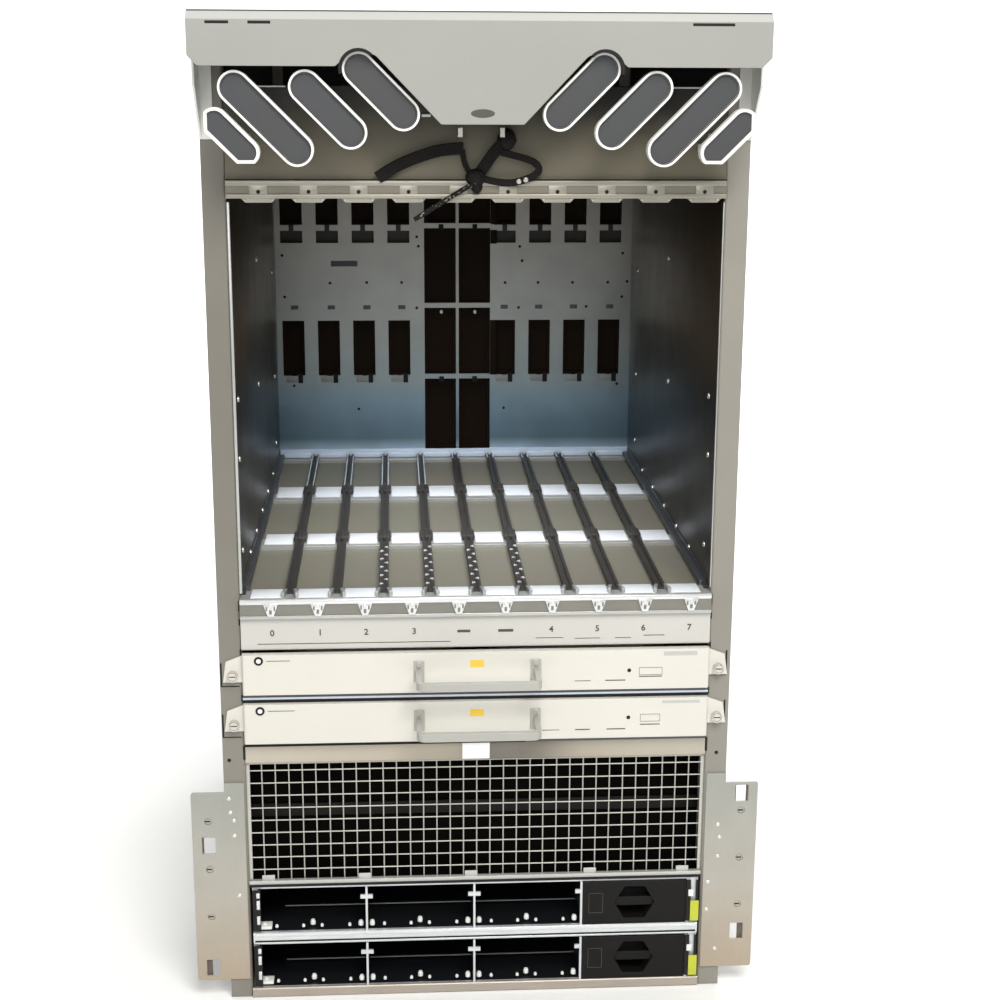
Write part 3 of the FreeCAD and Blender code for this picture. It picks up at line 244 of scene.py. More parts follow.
def turned(bm, outline, place, facing="front", sides=14):
    """A round piece: an outline of (radius, height) points, spun about the axis that it faces along."""
    before = set(bm.verts)
    points = [bm.verts.new((r, 0.0, h)) for r, h in outline]
    rims = [bm.edges.new(pair) for pair in zip(points, points[1:])]
    bmesh.ops.spin(bm, geom=points + rims, cent=(0, 0, 0), axis=(0, 0, 1), angle=2 * math.pi,
                   steps=sides, use_merge=True)
    made = [v for v in bm.verts if v not in before]
    bmesh.ops.remove_doubles(bm, verts=made, dist=0.001)
    made = [v for v in bm.verts if v not in before]
    faces = list({f for v in made for f in v.link_faces})
    bmesh.ops.recalc_face_normals(bm, faces=faces)
    bmesh.ops.transform(bm, matrix=Matrix.Translation(place) @ FACING[facing], verts=made)


def keep(bm, name, finish, body="chassis"):
    """Takes a bmesh in millimetres into the frame as a piece that rides on a body."""
    bmesh.ops.transform(bm, matrix=TO_FRAME, verts=bm.verts)
    mesh = bpy.data.meshes.new(name)
    bm.to_mesh(mesh)
    bm.free()
    return settle(mesh, name, finish, body)


def settle(mesh, name, finish, body="chassis"):
    """Makes an object of a mesh that is already in place, and says what it rides on."""
    mesh.materials.clear()
    mesh.materials.append(FINISH[finish])
    mesh.shade_smooth()
    mesh.set_sharp_from_angle(angle=SHARP_EDGE)
    piece = bpy.data.objects.new(name, mesh)
    scene.collection.objects.link(piece)
    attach(piece, body)
    print(name, len(mesh.polygons), "faces")
    return piece


def blocks(name, rows, finish, body="chassis"):
    """A piece made of blocks; each row is (low, high, rounding, steps), as block() takes them."""
    bm = bmesh.new()
    for row in rows:
        block(bm, *row)
    return keep(bm, name, finish, body)


def strip(front, back, low, high, *edge, inset=0.0):
    """A row for blocks(): a strip that runs across the inside of the chassis."""
    return (inset - HALF_INSIDE, front, low), (HALF_INSIDE - inset, back, high), *edge


def heads(name, places, outline, finish, sides=14):
    """A piece made of one turned outline, set down at each place and facing the front."""
    bm = bmesh.new()
    for place in places:
        turned(bm, outline, place, sides=sides)
    return keep(bm, name, finish)


def span(side, inner, outer):
    """Two places on one side of the middle, the lower x first."""
    return sorted((side * inner, side * outer))


# %% [markdown]
# ## Finishes
# Most of the chassis is powder coated steel: a thick, slightly wavy skin with a fine orange peel, a
# little cloudy in tone, thinner and lighter along the edges. The Bevel node rounds the CAD's sharp
# edges for the light, and its turn against the true normal finds where the edges are.

# %% Powder coat
EDGE_ROUND = 0.9


def edge_find(tree, radius, amount):
    """The rounded normal, and a mask that is high along the edges."""
    soft = add(tree, "ShaderNodeBevel", {"samples": 4}, {"Radius": radius / 1000})
    true = add(tree, "ShaderNodeNewGeometry")
    turn = add(tree, "ShaderNodeVectorMath", {"operation": "DOT_PRODUCT"},
               {0: soft.outputs[0], 1: true.outputs["Normal"]})
    mask = add(tree, "ShaderNodeMapRange", None,
               {"Value": turn.outputs["Value"], "From Min": 0.995, "From Max": 0.85,
                "To Min": 0.0, "To Max": amount})
    return soft.outputs[0], mask.outputs[0]


def by_place(tree, coords, colour, stops, axis="Z"):
    """Tints a colour along one axis: each stop is (millimetres, hex of the tint)."""
    low, high = stops[0][0], stops[-1][0]
    place = add(tree, "ShaderNodeSeparateXYZ", None, {0: coords})
    rise = add(tree, "ShaderNodeMapRange", None,
               {"Value": place.outputs[axis], "From Min": low / 1000, "From Max": high / 1000})
    ramp = add(tree, "ShaderNodeValToRGB", None, {0: rise.outputs[0]})
    for z, _ in stops[1:-1]:
        ramp.color_ramp.elements.new((z - low) / (high - low))
    for element, (_, code) in zip(ramp.color_ramp.elements, stops):
        element.color = linear(code)
    return add(tree, "ShaderNodeMix", {"data_type": "RGBA", "blend_type": "MULTIPLY"},
               {0: 1.0, 6: colour, 7: ramp.outputs[0]}).outputs[2]


def powder_coat(name, light, dark, edge, rough=0.45, peel=1.8, wear=0.6, shade=None, axis="Z", top_highlight=0.0,
                gloss=0.5):
    """Baked paint on sheet steel; the peel is drawn coarser than the real 0.5 mm so that it shows."""
    material, tree, shader, coords = begin(name)
    cloud = add(tree, "ShaderNodeTexNoise", None, {"Vector": coords, "Scale": 1000 / 85, "Detail": 5.0})
    fine = add(tree, "ShaderNodeTexNoise", None, {"Vector": coords, "Scale": 1000 / peel, "Detail": 2.0})
    tone = add(tree, "ShaderNodeMix", {"data_type": "RGBA"},
               {0: cloud.outputs[0], 6: linear(light), 7: linear(dark)})
    soft, mask = edge_find(tree, EDGE_ROUND, wear)
    worn = add(tree, "ShaderNodeMix", {"data_type": "RGBA"},
               {0: mask, 6: tone.outputs[2], 7: linear(edge)})
    paint = by_place(tree, coords, worn.outputs[2], shade, axis) if shade else worn.outputs[2]
    # Faces that turn upward are mixed toward white: a painted highlight for the light from above.
    facing = add(tree, "ShaderNodeNewGeometry")
    upward = add(tree, "ShaderNodeSeparateXYZ", None, {0: facing.outputs["Normal"]})
    top_light = add(tree, "ShaderNodeMapRange", None,
               {"Value": upward.outputs["Z"], "From Min": 0.3, "From Max": 0.7, "To Max": top_highlight})
    lit_from_above = add(tree, "ShaderNodeMix", {"data_type": "RGBA"},
                {0: top_light.outputs[0], 6: paint, 7: linear("FFFFFF")})
    dull = add(tree, "ShaderNodeMapRange", None,
               {"Value": fine.outputs[0], "To Min": rough - 0.08, "To Max": rough + 0.1})
    bump = add(tree, "ShaderNodeBump", None, {"Strength": 0.12, "Distance": 0.0003,
                                              "Height": fine.outputs[0], "Normal": soft})
    feed(tree, shader, {"Base Color": lit_from_above.outputs[2], "Roughness": dull.outputs[0],
                        "Normal": bump.outputs[0], "Specular IOR Level": gloss})
    return material


# %% [markdown]
# The cage rails, the rack plates and the wires are zinc plated: a bright metal skin, a little cloudy,
# with the fine lines of the rolled sheet. The lines are noise stretched along one axis, so a bar
# that runs across the chassis gets lines that run across it too.

# %% Zinc plate
def plated(name, light, dark, rough=0.32, along=(0.05, 1.0, 1.0), grain=1.2, metal=1.0, lines=0.5,
           shade=None):
    """Zinc or nickel on steel; the grain is the spacing of the rolling lines in millimetres."""
    material, tree, shader, coords = begin(name)
    drawn = add(tree, "ShaderNodeMapping", None, {"Vector": coords, "Scale": along})
    scratch = add(tree, "ShaderNodeTexNoise", None,
                  {"Vector": drawn.outputs[0], "Scale": 1000 / grain, "Detail": 3.0})
    cloud = add(tree, "ShaderNodeTexNoise", None, {"Vector": coords, "Scale": 1000 / 45, "Detail": 4.0})
    blend = add(tree, "ShaderNodeMix", {"data_type": "FLOAT"},
                {0: lines, 2: cloud.outputs[0], 3: scratch.outputs[0]})
    tone = add(tree, "ShaderNodeMix", {"data_type": "RGBA"},
               {0: blend.outputs[0], 6: linear(light), 7: linear(dark)})
    dull = add(tree, "ShaderNodeMapRange", None,
               {"Value": blend.outputs[0], "To Min": rough - 0.1, "To Max": rough + 0.12})
    skin = by_place(tree, coords, tone.outputs[2], shade) if shade else tone.outputs[2]
    soft = add(tree, "ShaderNodeBevel", {"samples": 4}, {"Radius": 0.0006})
    bump = add(tree, "ShaderNodeBump", None, {"Strength": 0.06, "Distance": 0.0002,
                                              "Height": scratch.outputs[0], "Normal": soft.outputs[0]})
    feed(tree, shader, {"Base Color": skin, "Roughness": dull.outputs[0], "Normal": bump.outputs[0],
                        "Metallic": metal})
    return material


# %% [markdown]
# Moulded parts are ABS and nylon: an even colour, a soft sheen and the faint grain of an etched
# mould. Foam is open and dusty, and a printed mark is a thin matt ink with slightly uneven cover.

# %% Moulded plastic, foam and ink
def moulded(name, light, dark, rough=0.5, grain=0.9, depth=0.15, gloss=0.5):
    """ABS or nylon from an etched mould, the grain in millimetres."""
    material, tree, shader, coords = begin(name)
    fine = add(tree, "ShaderNodeTexNoise", None, {"Vector": coords, "Scale": 1000 / grain, "Detail": 3.0})
    cloud = add(tree, "ShaderNodeTexNoise", None, {"Vector": coords, "Scale": 1000 / 30, "Detail": 3.0})
    tone = add(tree, "ShaderNodeMix", {"data_type": "RGBA"},
               {0: cloud.outputs[0], 6: linear(light), 7: linear(dark)})
    dull = add(tree, "ShaderNodeMapRange", None,
               {"Value": fine.outputs[0], "To Min": rough - 0.07, "To Max": rough + 0.07})
    bump = add(tree, "ShaderNodeBump", None,
               {"Strength": depth, "Distance": 0.0002, "Height": fine.outputs[0]})
    feed(tree, shader, {"Base Color": tone.outputs[2], "Roughness": dull.outputs[0],
                        "Normal": bump.outputs[0], "Specular IOR Level": gloss})
    return material


# %% [markdown]
# A perforated screen is a sheet with round holes in rows. A two dimensional Voronoi pattern with no
# randomness puts one cell centre at each hole, and the distance from it says hole or sheet.

# %% Perforated sheet
def perforated(name, sheet, hole, pitch, share, flat="XZ", metal=0.0, rough=0.5, turn=0.0, relief=0.5,
               gloss=0.5):
    """Punched sheet; pitch and hole share are those of the holes, flat names the sheet's plane."""
    material, tree, shader, coords = begin(name)
    parts = add(tree, "ShaderNodeSeparateXYZ", None, {0: coords})
    plane = add(tree, "ShaderNodeCombineXYZ", None,
                {"X": parts.outputs[flat[0]], "Y": parts.outputs[flat[1]]})
    turned_plane = add(tree, "ShaderNodeMapping", None,
                       {"Vector": plane.outputs[0], "Rotation": (0.0, 0.0, math.radians(turn))})
    cells = add(tree, "ShaderNodeTexVoronoi", {"voronoi_dimensions": "2D", "feature": "F1"},
                {"Vector": turned_plane.outputs[0], "Scale": 1000 / pitch, "Randomness": 0.0})
    open_at = add(tree, "ShaderNodeMapRange", None,
                  {"Value": cells.outputs["Distance"], "From Min": share - 0.06, "From Max": share + 0.06})
    cloud = add(tree, "ShaderNodeTexNoise", None, {"Vector": coords, "Scale": 1000 / 60, "Detail": 3.0})
    shade = add(tree, "ShaderNodeMix", {"data_type": "RGBA", "blend_type": "MULTIPLY"},
                {0: 0.25, 6: linear(sheet), 7: cloud.outputs[1]})
    tone = add(tree, "ShaderNodeMix", {"data_type": "RGBA"},
               {0: open_at.outputs[0], 6: linear(hole), 7: shade.outputs[2]})
    bump = add(tree, "ShaderNodeBump", None,
               {"Strength": relief, "Distance": 0.0005, "Height": open_at.outputs[0]})
    feed(tree, shader, {"Base Color": tone.outputs[2], "Normal": bump.outputs[0], "Metallic": metal,
                        "Roughness": rough, "Specular IOR Level": gloss})
    return material


# %% [markdown]
# Three finishes have a tree of their own. The backplane steel is warm grey at the top, and bluer and brighter
# towards the foot: a painted reflection of the floor. The power trays are plated at the front edge and black
# further in. The webbing is woven, with a rib every 1.6 millimetres.

# %% Backplane, tray and webbing finishes
# White at the floor, blue low down, grey higher up: a painted reflection of the floor.
BACKPLANE_PAINTED_REFLECTION = ((CAGE_FLOOR, "FFFFFF"), (421, "B6CFDE"), (432, "7591A0"), (452, "7B96A8"),
                   (484, "91ACBC"), (504, "A2B1B6"), (560, "A1A7A4"), (660, "9C9C98"), (CAGE_TOP, "A09A8E"))


def backplane_zinc():
    """Zinc, a neutral grey towards the top, with a painted blue reflection of the floor towards the foot."""
    material, tree, shader, coords = begin("zinc_with_painted_floor_reflection")
    cloud = add(tree, "ShaderNodeTexNoise", None, {"Vector": coords, "Scale": 1000 / 40, "Detail": 6.0})
    patchy = add(tree, "ShaderNodeMapRange", None, {"Value": cloud.outputs[0], "From Min": 0.3,
                                                   "From Max": 0.7, "To Min": 0.86, "To Max": 1.0})
    tone = by_place(tree, coords, patchy.outputs[0], BACKPLANE_PAINTED_REFLECTION)
    dull = add(tree, "ShaderNodeMapRange", None, {"Value": cloud.outputs[0], "To Min": 0.26, "To Max": 0.4})
    feed(tree, shader, {"Base Color": tone, "Roughness": dull.outputs[0], "Metallic": 0.7})
    return material


def tray_steel():
    """Zinc at the front edges of the power trays, black further in."""
    material, tree, shader, coords = begin("tray_steel_black_inside")
    depth = add(tree, "ShaderNodeSeparateXYZ", None, {0: coords})
    inside = add(tree, "ShaderNodeMapRange", None,
                 {"Value": depth.outputs["Y"], "From Min": FLANGE.y + 0.0012, "From Max": FLANGE.y + 0.0018})
    cloud = add(tree, "ShaderNodeTexNoise", None, {"Vector": coords, "Scale": 1000 / 20, "Detail": 4.0})
    front = add(tree, "ShaderNodeMix", {"data_type": "RGBA"},
                {0: cloud.outputs[0], 6: linear("E6E8EA"), 7: linear("C8CCD0")})
    tone = add(tree, "ShaderNodeMix", {"data_type": "RGBA"},
               {0: inside.outputs[0], 6: front.outputs[2], 7: linear("15171B")})
    metal = add(tree, "ShaderNodeMapRange", None, {"Value": inside.outputs[0], "To Min": 0.5, "To Max": 0.0})
    dull = add(tree, "ShaderNodeMapRange", None, {"Value": cloud.outputs[0], "To Min": 0.3, "To Max": 0.46})
    feed(tree, shader, {"Base Color": tone.outputs[2], "Metallic": metal.outputs[0],
                        "Roughness": dull.outputs[0]})
    return material


def woven(name, light, dark, rib, fleck=0.0):
    """Nylon webbing or braid: two crossing sets of ribs, the rib in millimetres."""
    material, tree, shader, coords = begin(name)
    waves = []
    for angle in (38.0, -52.0):
        slant = add(tree, "ShaderNodeMapping", None,
                    {"Vector": coords, "Rotation": (0.0, math.radians(angle), 0.0)})
        waves.append(add(tree, "ShaderNodeTexWave", {"wave_type": "BANDS", "bands_direction": "X"},
                         {"Vector": slant.outputs[0], "Scale": 1000 / rib / 20 * math.pi,
                          "Distortion": 0.6, "Detail": 1.0}))
    cross = add(tree, "ShaderNodeMath", {"operation": "MULTIPLY"},
                {0: waves[0].outputs["Fac"], 1: waves[1].outputs["Fac"]})
    flecks = add(tree, "ShaderNodeTexNoise", None, {"Vector": coords, "Scale": 1000 / 2.2, "Detail": 1.0})
    pale = add(tree, "ShaderNodeMapRange", None,
               {"Value": flecks.outputs[0], "From Min": 0.6, "From Max": 0.68, "To Max": fleck})
    tone = add(tree, "ShaderNodeMix", {"data_type": "RGBA"},
               {0: cross.outputs[0], 6: linear(dark), 7: linear(light)})
    flecked = add(tree, "ShaderNodeMix", {"data_type": "RGBA"},
                  {0: pale.outputs[0], 6: tone.outputs[2], 7: linear("B9AFA0")})
    bump = add(tree, "ShaderNodeBump", None,
               {"Strength": 0.6, "Distance": 0.0006, "Height": cross.outputs[0]})
    feed(tree, shader, {"Base Color": flecked.outputs[2], "Normal": bump.outputs[0], "Roughness": 0.75,
                        "Specular IOR Level": 0.3})
    return material


# %% [markdown]
# Each CAD node is listed in the record under a material slot, so the finishes are kept in one table
# by slot and handed to the nodes from there.

# %% Dress the CAD nodes
# The taupe panel darkens toward its top: a painted shadow of the hood above it.
PANEL_HOOD_SHADOW = ((792, "FFFFFF"), (812, "E6E6E6"), (836, "B0B0B0"), (856, "626262"), (873, "1C1C1C"))
# The left column is darker than the right one, and darker in its upper part: painted shade.
COLUMN_PAINTED_SHADE = ((250, "EEEEEE"), (550, "D6D6D6"), (930, "D6D6D6"))
# The filter header is darker grey just right of the middle, beside its label: painted shade.
HEADER_PAINTED_SHADE = ((-220, "FFFFFF"), (-80, "F4F2EE"), (-20, "DEDCD8"), (10, "A2A2A4"), (62, "B0AFAE"),
                (100, "E4E2DE"), (220, "F6F6F6"))
PLATE_SHADE = ((20, "FFF0E0"), (110, "FFFFFF"), (225, "E6EEF2"))
FINISH.update({
    "column_paint": powder_coat("grey_beige_powder_coat", "928E85", "858178", "AEAAA1"),
    "left_column_painted_shade": powder_coat("grey_powder_coat_painted_shade", "938F84", "858177", "ACA89F",
                                     shade=COLUMN_PAINTED_SHADE),
    # The hood's upward bevel gets a painted highlight.
    "hood_paint": powder_coat("pale_grey_powder_coat", "999894", "90908A", "B4B4AE", top_highlight=0.14),
    "panel_paint": powder_coat("taupe_powder_coat_hood_shadow", "7F7864", "706A57", "8F8774", shade=PANEL_HOOD_SHADOW),
    "case_steel": plated("rolled_zinc_sheet", "C1B8AD", "A39B90", rough=0.42, metal=0.6),
    "rack_zinc": plated("rack_plate_zinc", "BAB5AB", "A6A197", rough=0.42, along=(1.0, 1.0, 0.06), metal=0.35,
                        lines=0.25, shade=PLATE_SHADE),
    "lozenge_rim": moulded("white_abs", "EFEFEB", "E6E6E0", rough=0.42),
    "lozenge_mesh": perforated("punched_grey_screen", "424345", "3C3D3F", 1.6, 0.34, turn=45.0, relief=0.06),
    "cage_zinc": plated("bright_zinc_sill", "CBCCC9", "AEAFAB", rough=0.3, metal=0.55),
    "rail_zinc": plated("warm_zinc_rail", "B4B0A2", "99958A", rough=0.34, metal=0.5),
    "floor_panel": perforated("punched_taupe_floor", "767366", "706D60", 3.0, 0.3, flat="XY", rough=0.55,
                              relief=0.06),
    "guide_plastic": moulded("charcoal_nylon", "36332F", "282624", rough=0.5),
    "cream_paint": powder_coat("cream_powder_coat", "D9D6CD", "D1CEC5", "E6E4DC", rough=0.38),
    "backplane_steel": backplane_zinc(),
    "header_plastic": perforated("press_fit_header", "20160C", "281C10", 3.8, 0.2, rough=0.6, relief=0.2,
                                 gloss=0.1),
    "board_laminate": moulded("brown_laminate_board", "1E150C", "150E07", rough=0.45, grain=2.2),
    "fan_aluminium": plated("folded_aluminium", "C6C7C6", "ABACAC", rough=0.4, metal=0.7),
    "rotor_plastic": moulded("black_glass_filled_nylon", "26272A", "1C1D20", rough=0.42),
    # The handles are a greyer copy of the fan fronts' cream: painted shade along the bars.
    "handle_metal": powder_coat("cream_bar_enamel_painted_shade", "B4B3AC", "A3A29B", "C8C6BE", rough=0.3),
    "screw_nickel": plated("nickel_screw", "DDDAD2", "C2BEB4", rough=0.25, metal=0.8),
    "shelf_paint": powder_coat("pale_blue_enamel", "DCE5F2", "CFD9E8", "EEF2F8", rough=0.35),
    "header_paint": powder_coat("warm_grey_enamel_painted_shade", "C2BAAB", "AEA799", "CFC8BB", rough=0.32,
                                shade=HEADER_PAINTED_SHADE, axis="X"),
    # The hood brackets are near white: a painted highlight of the front light on their cheeks.
    "bracket_painted_highlight": powder_coat("bracket_enamel_painted_highlight", "F2F2EE", "E8E8E4", "F8F8F4", rough=0.4),
    # The slot strip is a darker copy of the fan fronts' cream paint: painted shade.
    "strip_painted_shade": powder_coat("cream_powder_coat_painted_shade", "C8C6C0", "C0BEB8", "D6D4CD", rough=0.38),
    "deck_zinc": plated("pale_zinc_deck", "CFCFCB", "B6B6B2", rough=0.4, metal=0.4),
    "wire_steel": plated("welded_wire_zinc", "CFCDC6", "B2B0A8", rough=0.34, metal=0.4),
    "filter_foam": moulded("dusty_filter_foam", "0C0B09", "050403", rough=0.95, grain=2.6, depth=0.9,
                           gloss=0.05),
    "tray_steel": tray_steel(),
    "blank_paint": powder_coat("graphite_powder_coat", "161514", "100F0E", "2A2827", rough=0.5, gloss=0.2),
    "inlet_plastic": moulded("black_thermoset", "1F2022", "17181A", rough=0.4),
    "hook_steel": plated("bright_steel_hook", "E6E2DA", "C9C5BD", rough=0.22, metal=0.6),
    "strap_web": woven("woven_nylon_web", "120C08", "070504", 1.6),
    "lanyard_braid": woven("braided_cord", "1A130E", "090605", 1.4, fleck=0.5),
})
NODE_FINISH = {"side_panel_left": "left_column_painted_shade", "cage_top_rail": "rail_zinc",
               "slot_strip": "strip_painted_shade", "plenum_deck": "deck_zinc", "hood_brackets": "bracket_painted_highlight"}
for row in frame["record"]["subparts"]:
    for holder in nodes[row["node"]].material_slots:
        holder.material = FINISH[NODE_FINISH.get(row["node"], row["material_slot"])]

# %% [markdown]
# ## The lanyard
# A short braided lanyard hangs from the knot of the tie straps, across the rail. It is a cord of
# fixed length, so it is one NURBS curve with the control points of its CAD solid and a round section.
# The points are in metres in the frame.

# %% Lanyard
LANYARD_ROUTE = ((-0.0010, -0.30035, 0.79195), (-0.0270, -0.30035, 0.77695), (-0.0562, -0.30035, 0.75865))
LANYARD_LENGTH, LANYARD_DIAMETER = 0.0645, 0.0044
cord_curve = bpy.data.curves.new("lanyard_cord", "CURVE")
cord_curve.dimensions, cord_curve.bevel_depth = "3D", LANYARD_DIAMETER / 2
cord_curve.bevel_resolution, cord_curve.resolution_u, cord_curve.use_fill_caps = 3, 12, True
route = cord_curve.splines.new("NURBS")
route.points.add(len(LANYARD_ROUTE) - 1)
for point, place in zip(route.points, LANYARD_ROUTE):
    point.co = (*place, 1.0)
route.order_u, route.use_endpoint_u = 3, True
cord_curve.materials.append(FINISH["lanyard_braid"])
lanyard = bpy.data.objects.new("lanyard_cord", cord_curve)
scene.collection.objects.link(lanyard)
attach(lanyard, "chassis")
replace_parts(lanyard, "lanyard")
print("lanyard of", LANYARD_LENGTH, "m")

# %% [markdown]
# ## The tie straps
# Woven straps hang from hooks under the hood: a thick one to the left with a thin tail, one that runs
# down into a knot, and a band with press studs that loops round to the right. Cloth simulation would
# lose such narrow webbing, so each strap is a NURBS route with a flat, rounded section swept along it.

# %% Webbing
BAND_FRONT = reach("band_loop")[0].y
STRAP_FRONT = reach("tie_straps")[0].y
# Each strap: its route of (x, height), its width, its thickness and the depth of its front.
STRAP_ROUTES = {
    "strap_left": (((-13, 820), (-28, 819.5), (-46, 815), (-62, 809), (-75, 803), (-88, 794.5)), 10.5, 3.2,
                   STRAP_FRONT),
    "strap_tail": (((-14, 819), (-13, 809), (-9, 801), (-4, 794)), 4.8, 2.0, STRAP_FRONT + 0.6),
    "strap_right": (((25, 832), (21, 824), (12.5, 815), (5, 804), (-1, 796), (-2.5, 786)), 10.0, 3.0,
                    STRAP_FRONT),
    "strap_band": (((0, 795), (15, 791), (30, 790), (44, 794), (54, 800), (51, 808), (36, 813), (20, 816.5)),
                   6.2, 2.2, BAND_FRONT + 0.4),
}


def swept(name, route, width, thick, front):
    """A flat section swept along a route of (x, height), made a mesh and stood upright."""
    section = bpy.data.curves.new(name + "_section", "CURVE")
    rim = section.splines.new("POLY")
    half, deep, cut = width / 2000, thick / 2000, thick / 5000
    corners = ((half - cut, -deep), (half, -deep + cut), (half, deep - cut), (half - cut, deep),
               (cut - half, deep), (-half, deep - cut), (-half, cut - deep), (cut - half, -deep))
    rim.points.add(len(corners) - 1)
    rim.use_cyclic_u = True
    for point, (a, b) in zip(rim.points, corners):
        point.co = (a, b, 0.0, 1.0)
    shape = bpy.data.objects.new(name + "_section", section)
    path = bpy.data.curves.new(name + "_path", "CURVE")
    path.dimensions, path.twist_mode, path.resolution_u = "3D", "Z_UP", 10
    path.bevel_mode, path.bevel_object, path.use_fill_caps = "OBJECT", shape, True
    line = path.splines.new("NURBS")
    line.points.add(len(route) - 1)
    for point, (x, z) in zip(line.points, route):
        point.co = (x / 1000, z / 1000, 0.0, 1.0)
    line.order_u, line.use_endpoint_u = 3, True
    holder = bpy.data.objects.new(name + "_path", path)
    for temporary in (shape, holder):
        scene.collection.objects.link(temporary)
    grown = holder.evaluated_get(bpy.context.evaluated_depsgraph_get())
    mesh = bpy.data.meshes.new_from_object(grown)
    middle = Vector((0.0, FLANGE.y + (front + thick / 2) / 1000, 0.0))
    mesh.transform(Matrix.Translation(middle) @ FACING["front"])
    for temporary in (holder, shape):
        bpy.data.objects.remove(temporary)
    return mesh


straps = {}
for name, row in STRAP_ROUTES.items():
    straps[name] = settle(swept(name, *row), name, "strap_web")
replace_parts(straps["strap_left"], "tie_straps")
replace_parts(straps["strap_band"], "band_loop")

# %% [markdown]
# The knot is two soft lumps: blocks that are subdivided and smoothed round, drawn thinner at the foot
# where the stub leaves. The eye of the right strap is a third lump, on its hook. Two press studs are
# turned caps.

# %% Knot, eye and press studs
SMOOTHING = 3
# Each lump: its low corner, its high corner and the share of its width at the foot.
LUMPS = (((-11, BAND_FRONT - 0.6, 789), (6, STRAP_FRONT + 3, 800), 0.75),
         ((-5, BAND_FRONT, 782), (2, STRAP_FRONT + 2, 792), 0.7),
         ((19.5, STRAP_FRONT - 1.0, 820), (30, STRAP_FRONT + 3.5, 834), 0.7))
STUD_CAP = ((2.3, 0.0), (2.3, 0.5), (1.7, 1.0), (0.9, 1.0), (0.6, 0.7), (0.0, 0.6))
STUDS = ((35.5, 791.8), (41.5, 793.2))


def lump(bm, low, high, foot):
    """A soft lump: a block, its lower side narrowed, subdivided and smoothed round."""
    before = set(bm.verts)
    block(bm, low, high)
    made = [v for v in bm.verts if v not in before]
    middle = (Vector(low) + Vector(high)) / 2
    lower = [v for v in made if v.co.z < middle.z]
    bmesh.ops.scale(bm, vec=(foot, 1.0, 1.0), space=Matrix.Translation(-middle), verts=lower)
    edges = list({e for v in made for e in v.link_edges})
    bmesh.ops.subdivide_edges(bm, edges=edges, cuts=3, use_grid_fill=True, smooth=0.9)
    made = [v for v in bm.verts if v not in before]
    for _ in range(SMOOTHING):
        bmesh.ops.smooth_vert(bm, verts=made, factor=0.5, use_axis_x=True, use_axis_y=True, use_axis_z=True)


knots = bmesh.new()
for row in LUMPS:
    lump(knots, *row)
keep(knots, "strap_knots", "strap_web")
heads("press_studs", [(x, BAND_FRONT + 0.5, z) for x, z in STUDS], STUD_CAP, "screw_nickel")

# %% [markdown]
# ## Hood and upper panel
# A sheet metal hood has a few dark slots in its top fold, and a plain oval plate on the tongue. The slots are
# thin dark blocks let into the sheet, painted shade for their insides, and the oval is a turned disc,
# stretched sideways.

# %% Hood slots and oval plate
# Near-black for dark joints, and for painted shadow in gaps, slots and holes.
FINISH["dark_gap"] = moulded("dark_gap_and_painted_shadow", "1A1816", "100F0E", rough=0.85)
FINISH["print_ink"] = moulded("grey_print_ink", "55524D", "403E3A", rough=0.7)
HOOD_LOW, HOOD_HIGH = reach("hood")
HOOD_FRONT = HOOD_LOW.y
INLAY = 0.06
HOOD_SLOTS = ((-225.7, -206.5), (-191.1, -172.6), (173.9, 208.9))
SLOT_FOOT, SLOT_HEAD = 922.2, 924.6
OVAL = ((0.0, INLAY), (3.6, INLAY), (4.2, 0.0), (4.2, -0.4))
OVAL_PLACE, OVAL_STRETCH = (0.5, HOOD_FRONT, 851.4), (2.4, 1.0, 0.85)

# Dark blocks: painted shade inside the slots.
blocks("hood_slots", [((x0, HOOD_FRONT - INLAY, SLOT_FOOT), (x1, HOOD_FRONT + 0.4, SLOT_HEAD), 0.1)
                      for x0, x1 in HOOD_SLOTS], "dark_gap")
oval = bmesh.new()
turned(oval, OVAL, (0, 0, 0), sides=32)
bmesh.ops.scale(oval, vec=OVAL_STRETCH, verts=oval.verts)
bmesh.ops.translate(oval, vec=OVAL_PLACE, verts=oval.verts)
keep(oval, "hood_oval", "print_ink")

# %% [markdown]
# A dark band of painted shadow edges the notch over each inner lozenge, and a thin grey rim lies inside each
# of the six long ones. Both are flat bands. A short line is spun round the upper cap, and for a whole band it
# goes on down the slope, round the lower cap and back. The band then gets its thickness.

# %% Notch shadows and inner rims of the lozenges
# Each pill: the x and height of its upper cap, and how far it runs down and inwards.
PILLS = ((101.8, 886.95, 36.5), (146.2, 872.45, 37.0), (204.3, 871.75, 50.5))
PILL_RADIUS = 13.8
PILL_FRONT = reach("vent_lozenges")[0].y
BAND_START, NOTCH_SHADOW_START, CAP_END = (math.radians(a) for a in (-45, -15, 135))
CAP_STEPS = 18


